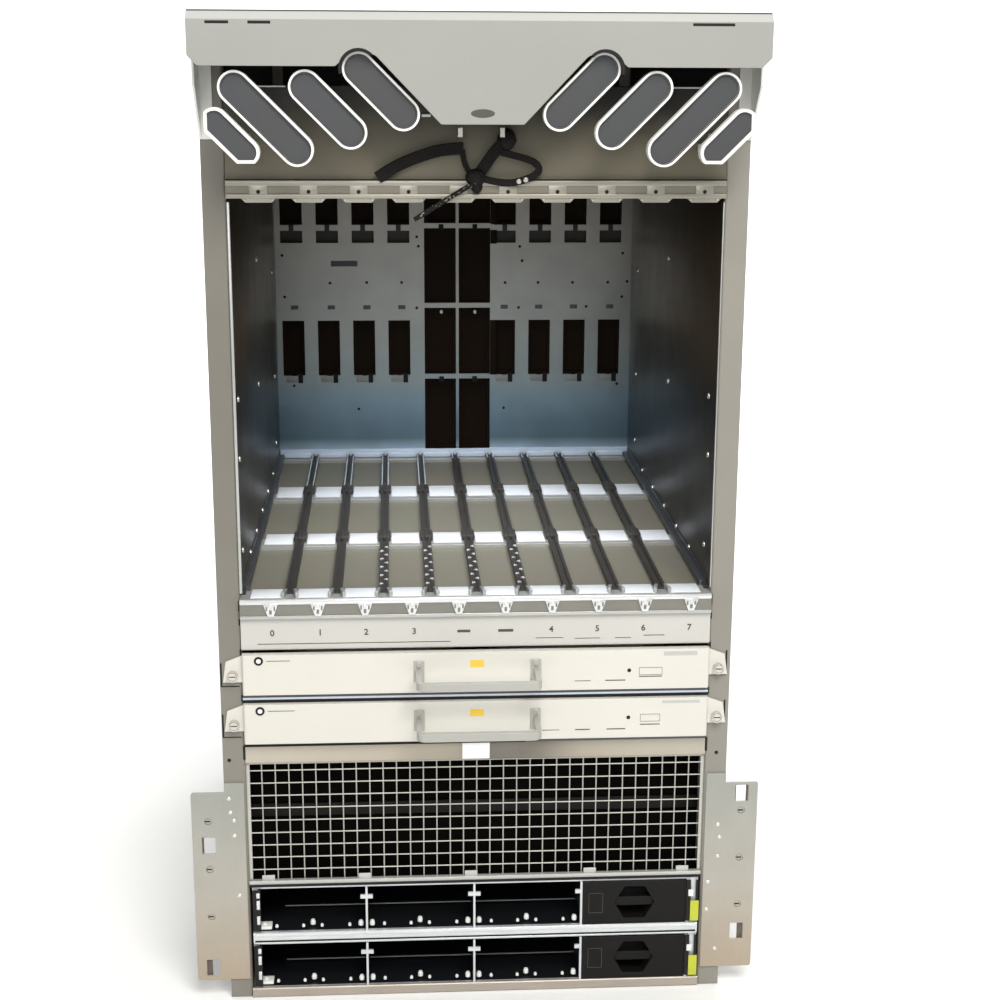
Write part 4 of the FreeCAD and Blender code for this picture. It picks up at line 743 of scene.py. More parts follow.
def pill_band(bm, side, pill, inner, outer, front, deep, whole=True):
    """A flat band round a sloping pill: its upper cap, and where it is whole its sides and lower cap."""
    x, z, run = pill
    start = BAND_START if whole else NOTCH_SHADOW_START
    centre, down = Vector((side * x, front, z)), Vector((-side * run, 0, -run))
    before = set(bm.verts)
    ray = Vector((side * math.cos(start), 0, math.sin(start)))
    ends = [bm.verts.new(centre + ray * radius) for radius in (inner, outer)]
    last = [*ends, bm.edges.new(ends)]
    for turn in (CAP_END - start, math.pi) if whole else (CAP_END - start,):
        last = bmesh.ops.spin(bm, geom=last, cent=centre, axis=(0, -side, 0), angle=turn,
                              steps=CAP_STEPS)["geom_last"]
        if whole:
            rim = [g for g in last if isinstance(g, bmesh.types.BMEdge)]
            side_wall = bmesh.ops.extrude_edge_only(bm, edges=rim)["geom"]
            last = [g for g in side_wall if not isinstance(g, bmesh.types.BMFace)]
            moved = [g for g in last if isinstance(g, bmesh.types.BMVert)]
            bmesh.ops.translate(bm, vec=down, verts=moved)
            centre, down = centre + down, -down
    made = [v for v in bm.verts if v not in before]
    bmesh.ops.remove_doubles(bm, verts=made, dist=0.01)
    faces = list({f for v in bm.verts if v not in before for f in v.link_faces})
    grown = bmesh.ops.extrude_face_region(bm, geom=faces)["geom"]
    bmesh.ops.translate(bm, vec=(0, deep, 0), verts=[g for g in grown if isinstance(g, bmesh.types.BMVert)])


notch_shadow, inner_rims = bmesh.new(), bmesh.new()
for side in (-1, 1):
    # A dark band of painted shadow round the notch over the inner lozenge.
    pill_band(notch_shadow, side, PILLS[0], PILL_RADIUS + 0.1, PILL_RADIUS + 2.8, HOOD_FRONT - INLAY, 1.5, False)
    for pill in PILLS:
        pill_band(inner_rims, side, pill, PILL_RADIUS - 2.7, PILL_RADIUS - 1.9, PILL_FRONT - INLAY, 0.6)
for band in (notch_shadow, inner_rims):
    bmesh.ops.recalc_face_normals(band, faces=band.faces)
keep(notch_shadow, "notch_shadow_bands", "dark_gap")
keep(inner_rims, "lozenge_inner_rims", "lozenge_mesh")

# %% [markdown]
# A grey line marks the fold of the hood's top. The taupe panel below has two lips, white for their bare edges
# and a painted highlight along them, and a pale patch of painted highlight, and meets the rail along a dark
# seam. They are strips of sheet, so rounded blocks are enough.

# %% Top line, lips, highlight patch and seam
PANEL_LOW, PANEL_HIGH = reach("upper_front_panel")
LIP_FRONT, LIP_TOP = PANEL_LOW.y, PANEL_HIGH.z
RAIL_FRONT, RAIL_LOW, RAIL_TOP = *reach("cage_top_rail")[0].yz, reach("cage_top_rail")[1].z
TOP_LINE = (HOOD_LOW.x + 0.5, HOOD_FRONT + 6.2, 932.1), (HOOD_HIGH.x - 0.5, HOOD_FRONT + 7.6, 933.4), 0.2
# A small pale patch on the panel: a painted highlight.
PANEL_HIGHLIGHT = (-49, -2.2, 846.4), (-41, 0.2, 848.8), 0.6
SEAM = strip(RAIL_FRONT - 0.2, RAIL_FRONT + 2.0, PANEL_LOW.z - 0.4, PANEL_LOW.z + 0.7, 0.1)

blocks("hood_top_line", [TOP_LINE], "print_ink")
# The lips are white: partly a painted highlight along their edges.
blocks("lit_panel_lips", [((x0, LIP_FRONT - 0.3, LIP_TOP - 1.9), (x1, LIP_FRONT + 3.2, LIP_TOP - 0.6), 0.3)
                      for x0, x1 in ((-219, -166), (166, 219))], "lozenge_rim")
blocks("panel_highlight_patch", [PANEL_HIGHLIGHT], "lozenge_rim")
blocks("rail_seam", [SEAM], "dark_gap")

# %% [markdown]
# The warm air leaves through the back at the top of the chassis. A dark screen stands in front of the
# rear grille and the plenum is lined with black sheet, so the space behind the lozenges reads as a
# deep shadow.

# %% Exhaust screen and plenum liners
REAR_LOW, REAR_HIGH = reach("rear_exhaust_grille")
PLENUM_LOW, PLENUM_END = reach("cage_ceiling")[1].z, REAR_LOW.y - 12
LINER_OUT, LINER_IN = HALF_INSIDE - 0.1, HALF_INSIDE - 0.8
FINISH["black_screen"] = perforated("black_exhaust_screen", "19191A", "060606", 2.4, 0.34)
SCREEN = (REAR_LOW.x, REAR_LOW.y - 2.0, REAR_LOW.z), (REAR_HIGH.x, REAR_LOW.y - 0.4, REAR_HIGH.z), 0.3
plenum = []
for side in (-1, 1):
    x0, x1 = span(side, LINER_IN, LINER_OUT)
    plenum.append(((x0, 14, PLENUM_LOW + 2), (x1, PLENUM_END, REAR_HIGH.z - 10), 0.2))
plenum.append(strip(20, PLENUM_END, REAR_HIGH.z + 2.4, REAR_HIGH.z + 3.2, 0.2, inset=4))
blocks("exhaust_screen", [SCREEN], "black_screen")
blocks("plenum_liners", plenum, "dark_gap")

# %% [markdown]
# ## The cage rails
# The rail above the cards is a rolled section: a band, a channel, and a bright bead along the foot. The sill
# below the cards has a bright bead above and another below, with a dull channel between them. Both channels
# are a darker zinc than their beads: painted shade in the hollow.
# All of them are set on the CAD sheets from side to side.

# %% Rail and sill
SILL_FRONT, SILL_LOW, SILL_TOP = *reach("cage_sill")[0].yz, reach("cage_sill")[1].z
RAIL_BEAD, RAIL_BAND = RAIL_LOW + 7.6, RAIL_TOP - 5.0
SILL_FOOT, SILL_BEAD = SILL_LOW + 3.6, SILL_TOP - 4.6
# Darker zinc for the sill's channel and the tab facets: painted shade.
FINISH["dull_channel_painted_shade"] = plated("darker_zinc_painted_shade", "918F86", "7A7871", rough=0.4, metal=0.5)
# Darker zinc for the rail's channel: painted shade.
FINISH["rail_channel"] = plated("taupe_rail_channel", "8C8779", "777367", rough=0.45, metal=0.4)
FINISH["tab_nickel"] = plated("polished_nickel_tab", "F0F2F2", "C9CCCC", rough=0.2, grain=6.0, metal=0.5)

blocks("rail_beads", [strip(RAIL_FRONT - 1.6, RAIL_FRONT, RAIL_LOW + 3.6, RAIL_BEAD, 0.8, 3),
                      strip(RAIL_FRONT - 1.0, RAIL_FRONT, RAIL_BAND, RAIL_TOP - 0.6, 0.5, 3)],
       "rail_zinc")
blocks("sill_top_bead", [strip(SILL_FRONT - 1.5, SILL_FRONT, SILL_BEAD, SILL_TOP - 0.2, 0.7, 3)],
       "tab_nickel")
blocks("sill_low_bead", [strip(SILL_FRONT - 1.0, SILL_FRONT, SILL_LOW + 0.3, SILL_FOOT, 0.5, 3)],
       "cage_zinc")
blocks("rail_channels", [strip(RAIL_FRONT - 0.2, RAIL_FRONT + 0.1, RAIL_BEAD, RAIL_BAND)],
       "rail_channel")
blocks("sill_channels", [strip(SILL_FRONT - 0.2, SILL_FRONT + 0.1, SILL_FOOT, SILL_BEAD)],
       "dull_channel_painted_shade")

# %% [markdown]
# At each slot the rail has a pad with a jack hole and a rivet at each side, and the sill has a tapered tab.
# The jack holes are dark discs, painted shade for their insides. A tab is a rounded block whose lower part is
# drawn in, with a rivet and three darker facets on it, painted shade on its sides.

# %% Rail pads, jack holes and sill tabs
SLOT_COUNT, SLOT_PITCH, JACK_OFFSET = 10, 43.6, 4.5
JACKS = [(i - (SLOT_COUNT - 1) / 2) * SLOT_PITCH + JACK_OFFSET for i in range(SLOT_COUNT)]
JACK_HEIGHT = 782.4
PAD_FRONT, PAD_FOOT, PAD_HEAD = RAIL_FRONT - 0.9, RAIL_LOW + 6.5, RAIL_TOP - 4.0
JACK_HOLE = ((0.0, 0.1), (1.7, 0.1), (2.0, -0.3))
RAIL_DOT = ((0.0, 0.9), (0.8, 0.6), (1.2, 0.0))
TAB_RIVET = ((0.0, 1.0), (1.6, 0.8), (2.0, 0.0))
TAB_TAPER, TAB_WAIST = (0.42, 0.7, 1.0), SILL_LOW + 8
# Each facet: x from and to, how far it stands out and in, the depth of its foot and head, its rounding.
FACETS = ((-4.4, -2.9, 3.6, 3.2, 9.5, 5.6, 0.1), (2.9, 4.4, 3.6, 3.2, 9.5, 5.6, 0.1),
          (-1.2, 1.2, 3.5, 2.6, 13.0, 9.0, 0.2))

blocks("rail_pads", [((x - 8, PAD_FRONT, PAD_FOOT), (x + 8, RAIL_FRONT, PAD_HEAD), 0.4) for x in JACKS],
       "rail_zinc")
# Dark discs: painted shade inside the jack holes.
heads("jack_holes", [(x, PAD_FRONT, JACK_HEIGHT) for x in JACKS], JACK_HOLE, "dark_gap")
heads("rail_dots", [(x + away, RAIL_FRONT, RAIL_LOW + 2.6) for x in JACKS for away in (-12, 12)], RAIL_DOT,
      "screw_nickel", sides=8)
tabs = bmesh.new()
for x in JACKS:
    before = set(tabs.verts)
    block(tabs, (x - 6.8, SILL_FRONT - 3.4, SILL_LOW + 3.0), (x + 6.8, SILL_FRONT - 0.2, SILL_TOP - 3.4), 0.7)
    lower = [v for v in tabs.verts if v not in before and v.co.z < TAB_WAIST]
    bmesh.ops.scale(tabs, vec=TAB_TAPER, space=Matrix.Translation((-x, -SILL_FRONT, 0)), verts=lower)
    turned(tabs, TAB_RIVET, (x, SILL_FRONT - 3.3, SILL_TOP - 5.5), sides=10)
keep(tabs, "sill_tabs", "tab_nickel")
# Darker facets on each tab: painted shade on its sides.
facets = [((x + x0, SILL_FRONT - out, SILL_TOP - foot), (x + x1, SILL_FRONT - back, SILL_TOP - head), edge)
          for x in JACKS for x0, x1, out, back, foot, head, edge in FACETS]
blocks("tab_shade_facets", facets, "dull_channel_painted_shade")

# %% [markdown]
# ## Inside the card cage
# The side walls are lined with dark passivated sheet, folded round to a bright edge at the front, and meet
# the floor in a grey angle. The sheet's darkness is partly painted shade of the deep cage, and its tint along
# the height, bluish low down and warm higher up, is a painted reflection. Screws hold the liners. They are
# one turned head, set down at each place.

# %% Wall liners and their screws
# A painted reflection: bluish near the floor, warm in the middle, darker at the top.
LINER_PAINTED_REFLECTION = ((CAGE_FLOOR, "C8DCFF"), (500, "B4C4E0"), (540, "A8A8A8"), (580, "9A948C"), (640, "FFF0DC"),
               (720, "E8D8C4"), (CAGE_TOP, "A09484"))
FINISH["dark_liner"] = plated("dark_passivated_liner_and_painted_shade", "5A5248", "453F38", rough=0.34, along=(1.0, 0.05, 1.0),
                              metal=0.5, shade=LINER_PAINTED_REFLECTION)
FINISH["wall_angle"] = plated("grey_zinc_angle", "5C5F62", "47494C", rough=0.35, along=(1.0, 0.05, 1.0),
                              metal=0.6)
PAN_HEAD = ((3.0, 0.0), (2.9, 0.9), (2.0, 1.5), (0.9, 1.6), (0.6, 1.1), (0.0, 1.1))
LINER_SCREWS = [(40, 590), (34, 535), (38, 446), (526, 524), (521, 443), (300, 690), (280, 560), (528, 650)]
LINER_SCREWS += [(d, CAGE_FLOOR + 6) for d in (120, 200, 285, 370, 455)]
LINER_EDGES = (((-HALF_INSIDE, -0.6, CAGE_FLOOR + 1), (2.6 - HALF_INSIDE, 2.6, RAIL_LOW), 0.5),
               ((HALF_INSIDE - 1.2, 0.4, CAGE_FLOOR + 1), (HALF_INSIDE, 2.6, RAIL_LOW), 0.4))
ANGLES = ((HALF_INSIDE - 7.0, CAGE_FLOOR + 0.4), (HALF_INSIDE - 1.8, CAGE_FLOOR + 6.0))
liners, angles, screws = [], [], bmesh.new()
for side, facing in ((-1, "right"), (1, "left")):
    x0, x1 = span(side, LINER_IN, LINER_OUT)
    liners.append(((x0, 3, CAGE_FLOOR + 0.5), (x1, BACKPLANE - 6, CAGE_TOP - 0.5), 0.2))
    for d, z in LINER_SCREWS:
        turned(screws, PAN_HEAD, (side * LINER_IN, d, z), facing, 10)
    for inner, top in ANGLES:
        x0, x1 = span(side, inner, LINER_IN)
        angles.append(((x0, 24, CAGE_FLOOR - 3.8), (x1, BACKPLANE - 8, top), 0.3))
blocks("wall_angles", angles, "wall_angle")
blocks("wall_liners", liners, "dark_liner")
blocks("liner_edges", LINER_EDGES, "cage_zinc")
keep(screws, "liner_screws", "screw_nickel")

# %% [markdown]
# The backplane carries a scatter of holes, dark discs of painted shade, small pads above the lower windows
# and a bare plate.
# White pegs stand below the middle cross bar, a grey key fills each window's foot, and a bright ledge
# closes the foot of the plate.

# %% Backplane holes, pads, pegs, keys and ledge
HOLES = ((-211, 662), (-209, 611), (-153, 628), (-108, 628.6), (-65, 628.5), (-46.5, 597), (-46, 684.5),
         (-44, 673), (81, 672.5), (84, 655), (63, 628), (104, 628), (147, 628), (191, 628), (215, 629),
         (209, 610), (80, 597), (164.5, 598), (209, 664), (-200, 500), (-120, 470), (62, 470), (205, 500))
PADS = (-197, -152, -108, -65, 62, 105, 148.5, 194)
WINDOWS = (-197.2, -153.6, -110.0, -66.4, 64.4, 108.0, 151.6, 195.2)
MIDDLE_WINDOWS = (-22.8, 20.8)
PEGS, PEG_HEIGHT, CATCHES = (-16.0, 25.4), 592.0, (507.3, 696.3)
CONNECTOR_ENDS = ((512.7, 581.4), (676.0, 692.8), (699.8, 759.5))
PLATE_HOLE = ((0.0, 0.1), (1.7, 0.1), (2.0, -0.2))
PEG = ((0.0, 6.0), (1.4, 5.6), (2.1, 4.2), (2.1, 0.0))
FINISH["shadow_grey"] = moulded("shadow_grey_ink", "5E6064", "4C4E52", rough=0.6)
FINISH["ledge_enamel"] = moulded("blue_white_enamel", "E4F0FF", "D2E2F6", rough=0.22, depth=0.05)
FINISH["key_grey"] = moulded("grey_key_nylon", "A5A7A6", "8F9190", rough=0.5)


def on_plate(x0, x1, z0, z1, proud, edge, sunk=0.2):
    """A row for blocks(): a small block on the backplane's front."""
    return (x0, BACKPLANE - proud, z0), (x1, BACKPLANE + sunk, z1), edge


marks = bmesh.new()
# Dark discs: painted shade inside the holes.
for x, z in HOLES:
    turned(marks, PLATE_HOLE, (x, BACKPLANE, z), sides=10)
for row in [on_plate(x - 3.0, x + 3.0, z - 3.6, z + 3.6, 0.4, 0.2, 0.0) for x in PEGS for z in CATCHES]:
    block(marks, *row)
for row in [on_plate(x + 2.6, x + 8.4, 503.4, 515.0, 0.9, 0.3) for x in WINDOWS]:
    block(marks, *row)
keep(marks, "backplane_holes", "dark_gap")
blocks("backplane_pads", [on_plate(x - 4.5, x + 4.5, 595.5, 600.5, 0.5, 0.4) for x in PADS]
       + [on_plate(-151.5, -119, 648.4, 655.3, 0.5, 0.3)], "shadow_grey")
heads("backplane_pegs", [(x, BACKPLANE, PEG_HEIGHT) for x in PEGS], PEG, "lozenge_rim")
blocks("backplane_ledge", [strip(BACKPLANE - 9, BACKPLANE - 6.2, CAGE_FLOOR - 3.6, CAGE_FLOOR + 6, 0.6)]
       + [((x - 17, BACKPLANE - 14, CAGE_FLOOR - 3.6), (x + 17, BACKPLANE - 8, CAGE_FLOOR + 2.0), 1.2)
          for x in WINDOWS + MIDDLE_WINDOWS], "ledge_enamel")
blocks("window_keys", [on_plate(x - 12.5, x + 2.0, 504.4, 512.4, 0.5, 0.3) for x in WINDOWS],
       "key_grey")
blocks("connector_ends", [on_plate(44.6, 52.5, z0, z1, 0.3, 0.1) for z0, z1 in CONNECTOR_ENDS],
       "header_plastic")

# %% [markdown]
# The card guides are nylon rails. A wider clip holds each one at every cross bar, a pale lead-in opens
# at its front, and some of them carry a row of spring fingers that earth the cards. Bright lips run
# along the far ends. A finger is a three sided cone, turned to point to the left or the right.

# %% Guide clips, lead-ins, spring fingers and lips
GUIDES = [(i - SLOT_COUNT / 2) * SLOT_PITCH for i in range(1, SLOT_COUNT)]
CROSSINGS = (203.0, 404.0)
GUIDE_FOOT = CAGE_FLOOR - 4.0
LEAD_END, LEAD_TURN = 15, 0.2
FINGER_GUIDES, FINGER_COUNT, FINGER_START, FINGER_STEP = range(2, 6), 10, 28, 14
LONG_LIPS, LONG_LIP, SHORT_LIP, LIP_END = 4, 412, 560, 586
clips, leads, fingers, lips = (bmesh.new() for _ in range(4))
for i, x in enumerate(GUIDES):
    for d in CROSSINGS:
        block(clips, (x - 6.5, d - 13, GUIDE_FOOT), (x + 6.5, d + 13, CAGE_FLOOR + 1.4), 1.4)
        block(clips, (x - 2.2, d - 17, GUIDE_FOOT), (x + 2.2, d + 17, CAGE_FLOOR + 2.2), 0.8)
    for side in (-1, 1):
        lead, lip, near = x + side * 4, x + side * 3.6, LONG_LIP if i < LONG_LIPS else SHORT_LIP
        before = set(leads.verts)
        block(leads, (lead - 1.6, 0.5, GUIDE_FOOT), (lead + 1.6, LEAD_END, CAGE_FLOOR + 0.8), 0.6)
        made = [v for v in leads.verts if v not in before]
        opened = Matrix.Rotation(side * LEAD_TURN, 3, "Z")
        bmesh.ops.rotate(leads, cent=(lead, LEAD_END, 0), matrix=opened, verts=made)
        block(lips, (lip - 0.8, near, CAGE_FLOOR - 0.2), (lip + 0.8, LIP_END, CAGE_FLOOR + 0.5), 0.2)
    for k in range(FINGER_COUNT if i in FINGER_GUIDES else 0):
        side = 1 if k % 2 else -1
        place = Matrix.Translation((x + side * 2.6, FINGER_START + FINGER_STEP * k, CAGE_FLOOR + 0.5))
        bmesh.ops.create_cone(fingers, cap_ends=True, segments=3, radius1=2.9, radius2=1.4, depth=1.2,
                              matrix=place @ Matrix.Rotation(side * math.pi / 2, 4, "Z"))
keep(clips, "guide_clips", "guide_plastic")
keep(leads, "guide_lead_ins", "fan_aluminium")
keep(fingers, "spring_fingers", "tab_nickel")
keep(lips, "guide_lips", "tab_nickel")

# %% [markdown]
# Between the guides a printed tick marks the front of each slot, and white pads cover the three cross bars;
# their white is partly a painted reflection of the light on the metal bars. Both are thin blocks, one for
# each slot.

# %% Slot ticks and cross bar pads
SLOTS = [x - SLOT_PITCH / 2 for x in GUIDES] + [GUIDES[-1] + SLOT_PITCH / 2]
CROSSBARS = ((0.6, 27.0), (184.0, 222.0), (381.0, 428.0))
# White, partly as a painted reflection of the light on the metal cross bars.
FINISH["white_bar_and_glare"] = moulded("white_enamel_and_painted_glare", "EAEDF0", "E0E4E8", rough=0.25, depth=0.05)
blocks("slot_ticks", [((x - 2.6, 9, GUIDE_FOOT), (x + 2.6, 11, GUIDE_FOOT + 0.25)) for x in SLOTS],
       "print_ink")
blocks("crossbar_pads", [((x - 14.4, near, GUIDE_FOOT - 0.1), (x + 14.4, far, GUIDE_FOOT + 0.5), 0.2)
                         for x in SLOTS for near, far in CROSSBARS], "white_bar_and_glare")

# %% [markdown]
# ## Printed marks and labels
# Silk screen print is a film of ink, far thinner than a pixel, so each line is a very thin block on
# the sheet. Slot numbers are text made into a mesh and stood upright. Labels are blank vinyl.

# %% Slot numbers and lines
STRIP_FRONT = reach("slot_strip")[0].y
INK, FILM = 0.15, 0.06
DIGITS = (-191.2, -146.7, -103.9, -59.1, 69.6, 113.1, 156.7, 200.4)
DIGIT_FOOT, DIGIT_SIZE, DIGIT_STROKE = 373.8, 0.0082, 0.0002
STRIP_LINES = ((-205, -25, 365.6, 366.3), (-18.8, -6.6, 374.6, 377.2), (19.6, 33.8, 374.6, 377.2),
               (55, 81, 367.7, 368.3), (92, 116, 366.7, 367.3), (130, 145, 366.7, 367.3),
               (157, 177, 368.7, 369.4))


def patches(name, areas, finish, front, body="chassis"):
    """Thin marks on a sheet, each given as (x from, x to, height from, height to)."""
    rows = [((x0, front - INK, z0), (x1, front + 0.05, z1)) for x0, x1, z0, z1 in areas]
    return blocks(name, rows, finish, body)


def frame_lines(x0, x1, z0, z1, line):
    """The four lines of a printed frame, as areas for patches()."""
    return ((x0, x1, z0, z0 + line), (x0, x1, z1 - line, z1), (x0, x0 + line, z0, z1),
            (x1 - line, x1, z0, z1))


numbers = bmesh.new()
for i, x in enumerate(DIGITS):
    letter = bpy.data.curves.new("slot_number", "FONT")
    letter.body, letter.size, letter.align_x = str(i), DIGIT_SIZE, "CENTER"
    letter.extrude, letter.offset = FILM / 1000, DIGIT_STROKE
    holder = bpy.data.objects.new("slot_number", letter)
    scene.collection.objects.link(holder)
    shape = bpy.data.meshes.new_from_object(holder.evaluated_get(bpy.context.evaluated_depsgraph_get()))
    place = Matrix.Translation((x, STRIP_FRONT - FILM, DIGIT_FOOT))
    shape.transform(place @ Matrix.Scale(1000, 4) @ FACING["front"])
    numbers.from_mesh(shape)
    bpy.data.objects.remove(holder)
keep(numbers, "slot_numbers", "print_ink")
patches("strip_lines", STRIP_LINES, "print_ink", STRIP_FRONT)

# %% [markdown]
# Each fan tray front has a status lamp with a dark ring, a few printed lines, a blank yellow label
# and a bare outlined panel. They ride on their tray, so they come out with it.

# %% Fan tray fronts
FINISH["yellow_vinyl"] = moulded("yellow_vinyl", "F2CB4A", "E3B93A", rough=0.4)
FINISH["grey_vinyl"] = moulded("pale_grey_vinyl", "BFC0BC", "B3B4B0", rough=0.45)
FINISH["lamp_lens"] = moulded("milky_lamp_lens", "FFFFFF", "F4F4F0", rough=0.2, depth=0.02)
LAMP_X, FRAME_LINE = -204.2, 0.35
LAMP_RING = ((2.3, 0.0), (2.5, 0.9), (3.9, 0.9), (4.3, 0.0))
LAMP_LENS = ((2.4, 0.0), (2.2, 0.6), (1.2, 0.95), (0.0, 1.05))
TRAY_DOT = ((1.9, 0.0), (1.7, 0.5), (0.0, 0.6))
TRAY_MARKS = {
    "upper": dict(lamp=351.3, dot=(143.5, 336.3), grey=(176, 208, 350.5, 354.5), yellow=(-7, 6, 342, 349),
                  frame=(153, 175, 331.5, 339),
                  lines=((-197, -175, 350.9, 351.5), (92, 107, 326.3, 326.9), (121, 140, 326.2, 327.2),
                         (153, 175, 329.6, 330.5))),
    "lower": dict(lamp=301.7, dot=(143.7, 288.9), grey=(176, 212, 302.6, 305.4), yellow=(-7, 6, 293, 300),
                  frame=(155, 174, 284.5, 292),
                  lines=((-197, -172, 301.3, 301.9), (60, 78, 277.2, 277.8), (93, 107, 277.0, 278.0),
                         (123, 141, 277.0, 278.0), (155, 174, 281.2, 282.1))),
}
for tier, mark in TRAY_MARKS.items():
    body = "fan_tray_" + tier
    ring, lens_cap = bmesh.new(), bmesh.new()
    turned(ring, LAMP_RING, (LAMP_X, FAN_FRONT, mark["lamp"]), sides=24)
    turned(lens_cap, LAMP_LENS, (LAMP_X, FAN_FRONT, mark["lamp"]), sides=20)
    turned(ring, TRAY_DOT, (mark["dot"][0], FAN_FRONT, mark["dot"][1]), sides=12)
    keep(ring, "lamp_ring_" + tier, "dark_gap", body)
    keep(lens_cap, "lamp_lens_" + tier, "lamp_lens", body)
    lines = mark["lines"] + frame_lines(*mark["frame"], FRAME_LINE)
    for label, areas, finish in (("tray_lines_", lines, "print_ink"),
                                 ("tray_grey_label_", (mark["grey"],), "grey_vinyl"),
                                 ("tray_yellow_label_", (mark["yellow"],), "yellow_vinyl")):
        patches(label + tier, areas, finish, FAN_FRONT, body)

# %% [markdown]
# A handle's feet are plates that are screwed on, and each thumb screw in the ears has a slot and a ring round
# its head, thin dark ink that is painted shade in the slot and round the head. These ride on their tray too.

# %% Handle feet and thumb screw slots
EAR_SCREW_X = 229.1
SCREW_RING = ((3.9, 0.05), (3.9, 0.12), (4.2, 0.12), (4.2, 0.05))
for tier in TRAY_MARKS:
    handle_low, handle_high = reach("fan_handle_" + tier)
    middle = (handle_low.z + handle_high.z) / 2
    feet, slits = bmesh.new(), bmesh.new()
    for side in (-1, 1):
        foot, screw = side * (handle_high.x - 3.0), side * EAR_SCREW_X
        block(feet, (foot - 5, FAN_FRONT - 1.2, middle - 9), (foot + 5, FAN_FRONT, middle + 12), 0.5)
        turned(feet, PAN_HEAD, (foot, FAN_FRONT - 1.2, middle + 8.5), sides=12)
        block(slits, (screw - 3.2, FAN_FRONT - 0.12, middle - 1.75),
              (screw + 3.2, FAN_FRONT + 0.3, middle - 0.75))
        turned(slits, SCREW_RING, (screw, FAN_FRONT, middle - 1.25), sides=20)
    keep(feet, "handle_feet_" + tier, "handle_metal", "fan_tray_" + tier)
    keep(slits, "thumb_screw_slots_" + tier, "print_ink", "fan_tray_" + tier)

# %% [markdown]
# Painted shadow lines edge the shelf between the trays, a dark one below and a grey one above. Another lies
# under the lower tray, dark on the left and grey on the right, and the joints end in small dark gaps at the
# columns. Dark lines beside and under the ears of the trays are their painted shadows on the flange.

# %% Shelf shadow lines, gaps and ear shadows
SHELF_LOW, SHELF_HIGH = reach("fan_shelf")
HEADER_FRONT, HEADER_TOP = reach("filter_header")[0].y, reach("filter_header")[1].z
SHADOW_SPLIT, EAR_SHADOW_WIDTH = 46, 1.6
# Each ear shadow: its side, its inner edge and the heights of the upper and the lower one.
EAR_SHADOWS = ((1, 236.6, ((328, 352), (280.5, 302))), (-1, 239.2, ((324.5, 347), (273.5, 296))))
COLUMN_GAPS = ((398, 408), (384, 390.5), (355, 361), (309, 315.5), (250, 264))
shelf, header = (SHELF_LOW.y - 0.4, SHELF_LOW.y + 0.2), (HEADER_FRONT - 0.4, HEADER_FRONT + 0.2)
# Painted shadow lines along the shelf, under the lower tray, beside and under the ears.
shadow_lines = [strip(*shelf, SHELF_LOW.z, SHELF_LOW.z + 2.8, 0.1),
         ((-HALF_INSIDE, header[0], HEADER_TOP - 5.2), (SHADOW_SPLIT, header[1], HEADER_TOP), 0.1)]
grey_shadow_lines = [strip(*shelf, SHELF_HIGH.z - 3.5, SHELF_HIGH.z, 0.1),
              ((SHADOW_SPLIT, header[0], HEADER_TOP - 4.8), (HALF_INSIDE, header[1], HEADER_TOP), 0.1)]
for side, out, heights in EAR_SHADOWS:
    for z0, z1 in heights:
        x0, x1 = span(side, out, out + EAR_SHADOW_WIDTH)
        shadow_lines.append(((x0, -0.3, z0), (x1, 0.2, z1), 0.1))
        x0, x1 = span(side, 223.0, out + EAR_SHADOW_WIDTH)
        shadow_lines.append(((x0, -0.3, z0 - 1.0), (x1, 0.2, z0), 0.1))
    x0, x1 = span(side, 219.8, 222.0)
    shadow_lines += [((x0, -0.5, z0), (x1, 0.2, z1), 0.3) for z0, z1 in COLUMN_GAPS]
blocks("dark_shadow_lines", shadow_lines, "dark_gap")
blocks("grey_shadow_lines", grey_shadow_lines, "shadow_grey")

# %% [markdown]
# ## Air intake
# The header over the grille carries a blank white label. The grille is welded from round wires, the
# level ones in front of the upright ones, in a thin frame.

# %% Header label and wire grille
GRILLE_LOW, GRILLE_HIGH = reach("intake_grille")
GRILLE_FRONT = GRILLE_LOW.y
WIRE_PITCH, WIRE_COUNT, WIRE_ROWS, WIRE_RADIUS = 12.85, 33, 9, 0.62
TOP_WIRE = GRILLE_HIGH.z - 8.2
HEADER_LABEL = (-14, 12, 246.6, 264.8)
# Each side of the frame: x from and to, height from and to.
GRILLE_FRAME = ((GRILLE_LOW.x, GRILLE_LOW.x + 3.4, GRILLE_LOW.z, GRILLE_HIGH.z),
                (GRILLE_HIGH.x - 3.4, GRILLE_HIGH.x, GRILLE_LOW.z, GRILLE_HIGH.z),
                (GRILLE_LOW.x, GRILLE_HIGH.x, GRILLE_LOW.z, GRILLE_LOW.z + 3.4),
                (GRILLE_LOW.x, GRILLE_HIGH.x, GRILLE_HIGH.z - 1.4, GRILLE_HIGH.z))
FINISH["white_label"] = moulded("white_label_paper", "FFFFFF", "F6F6F4", rough=0.55, depth=0.05)
patches("header_label", (HEADER_LABEL,), "white_label", HEADER_FRONT)

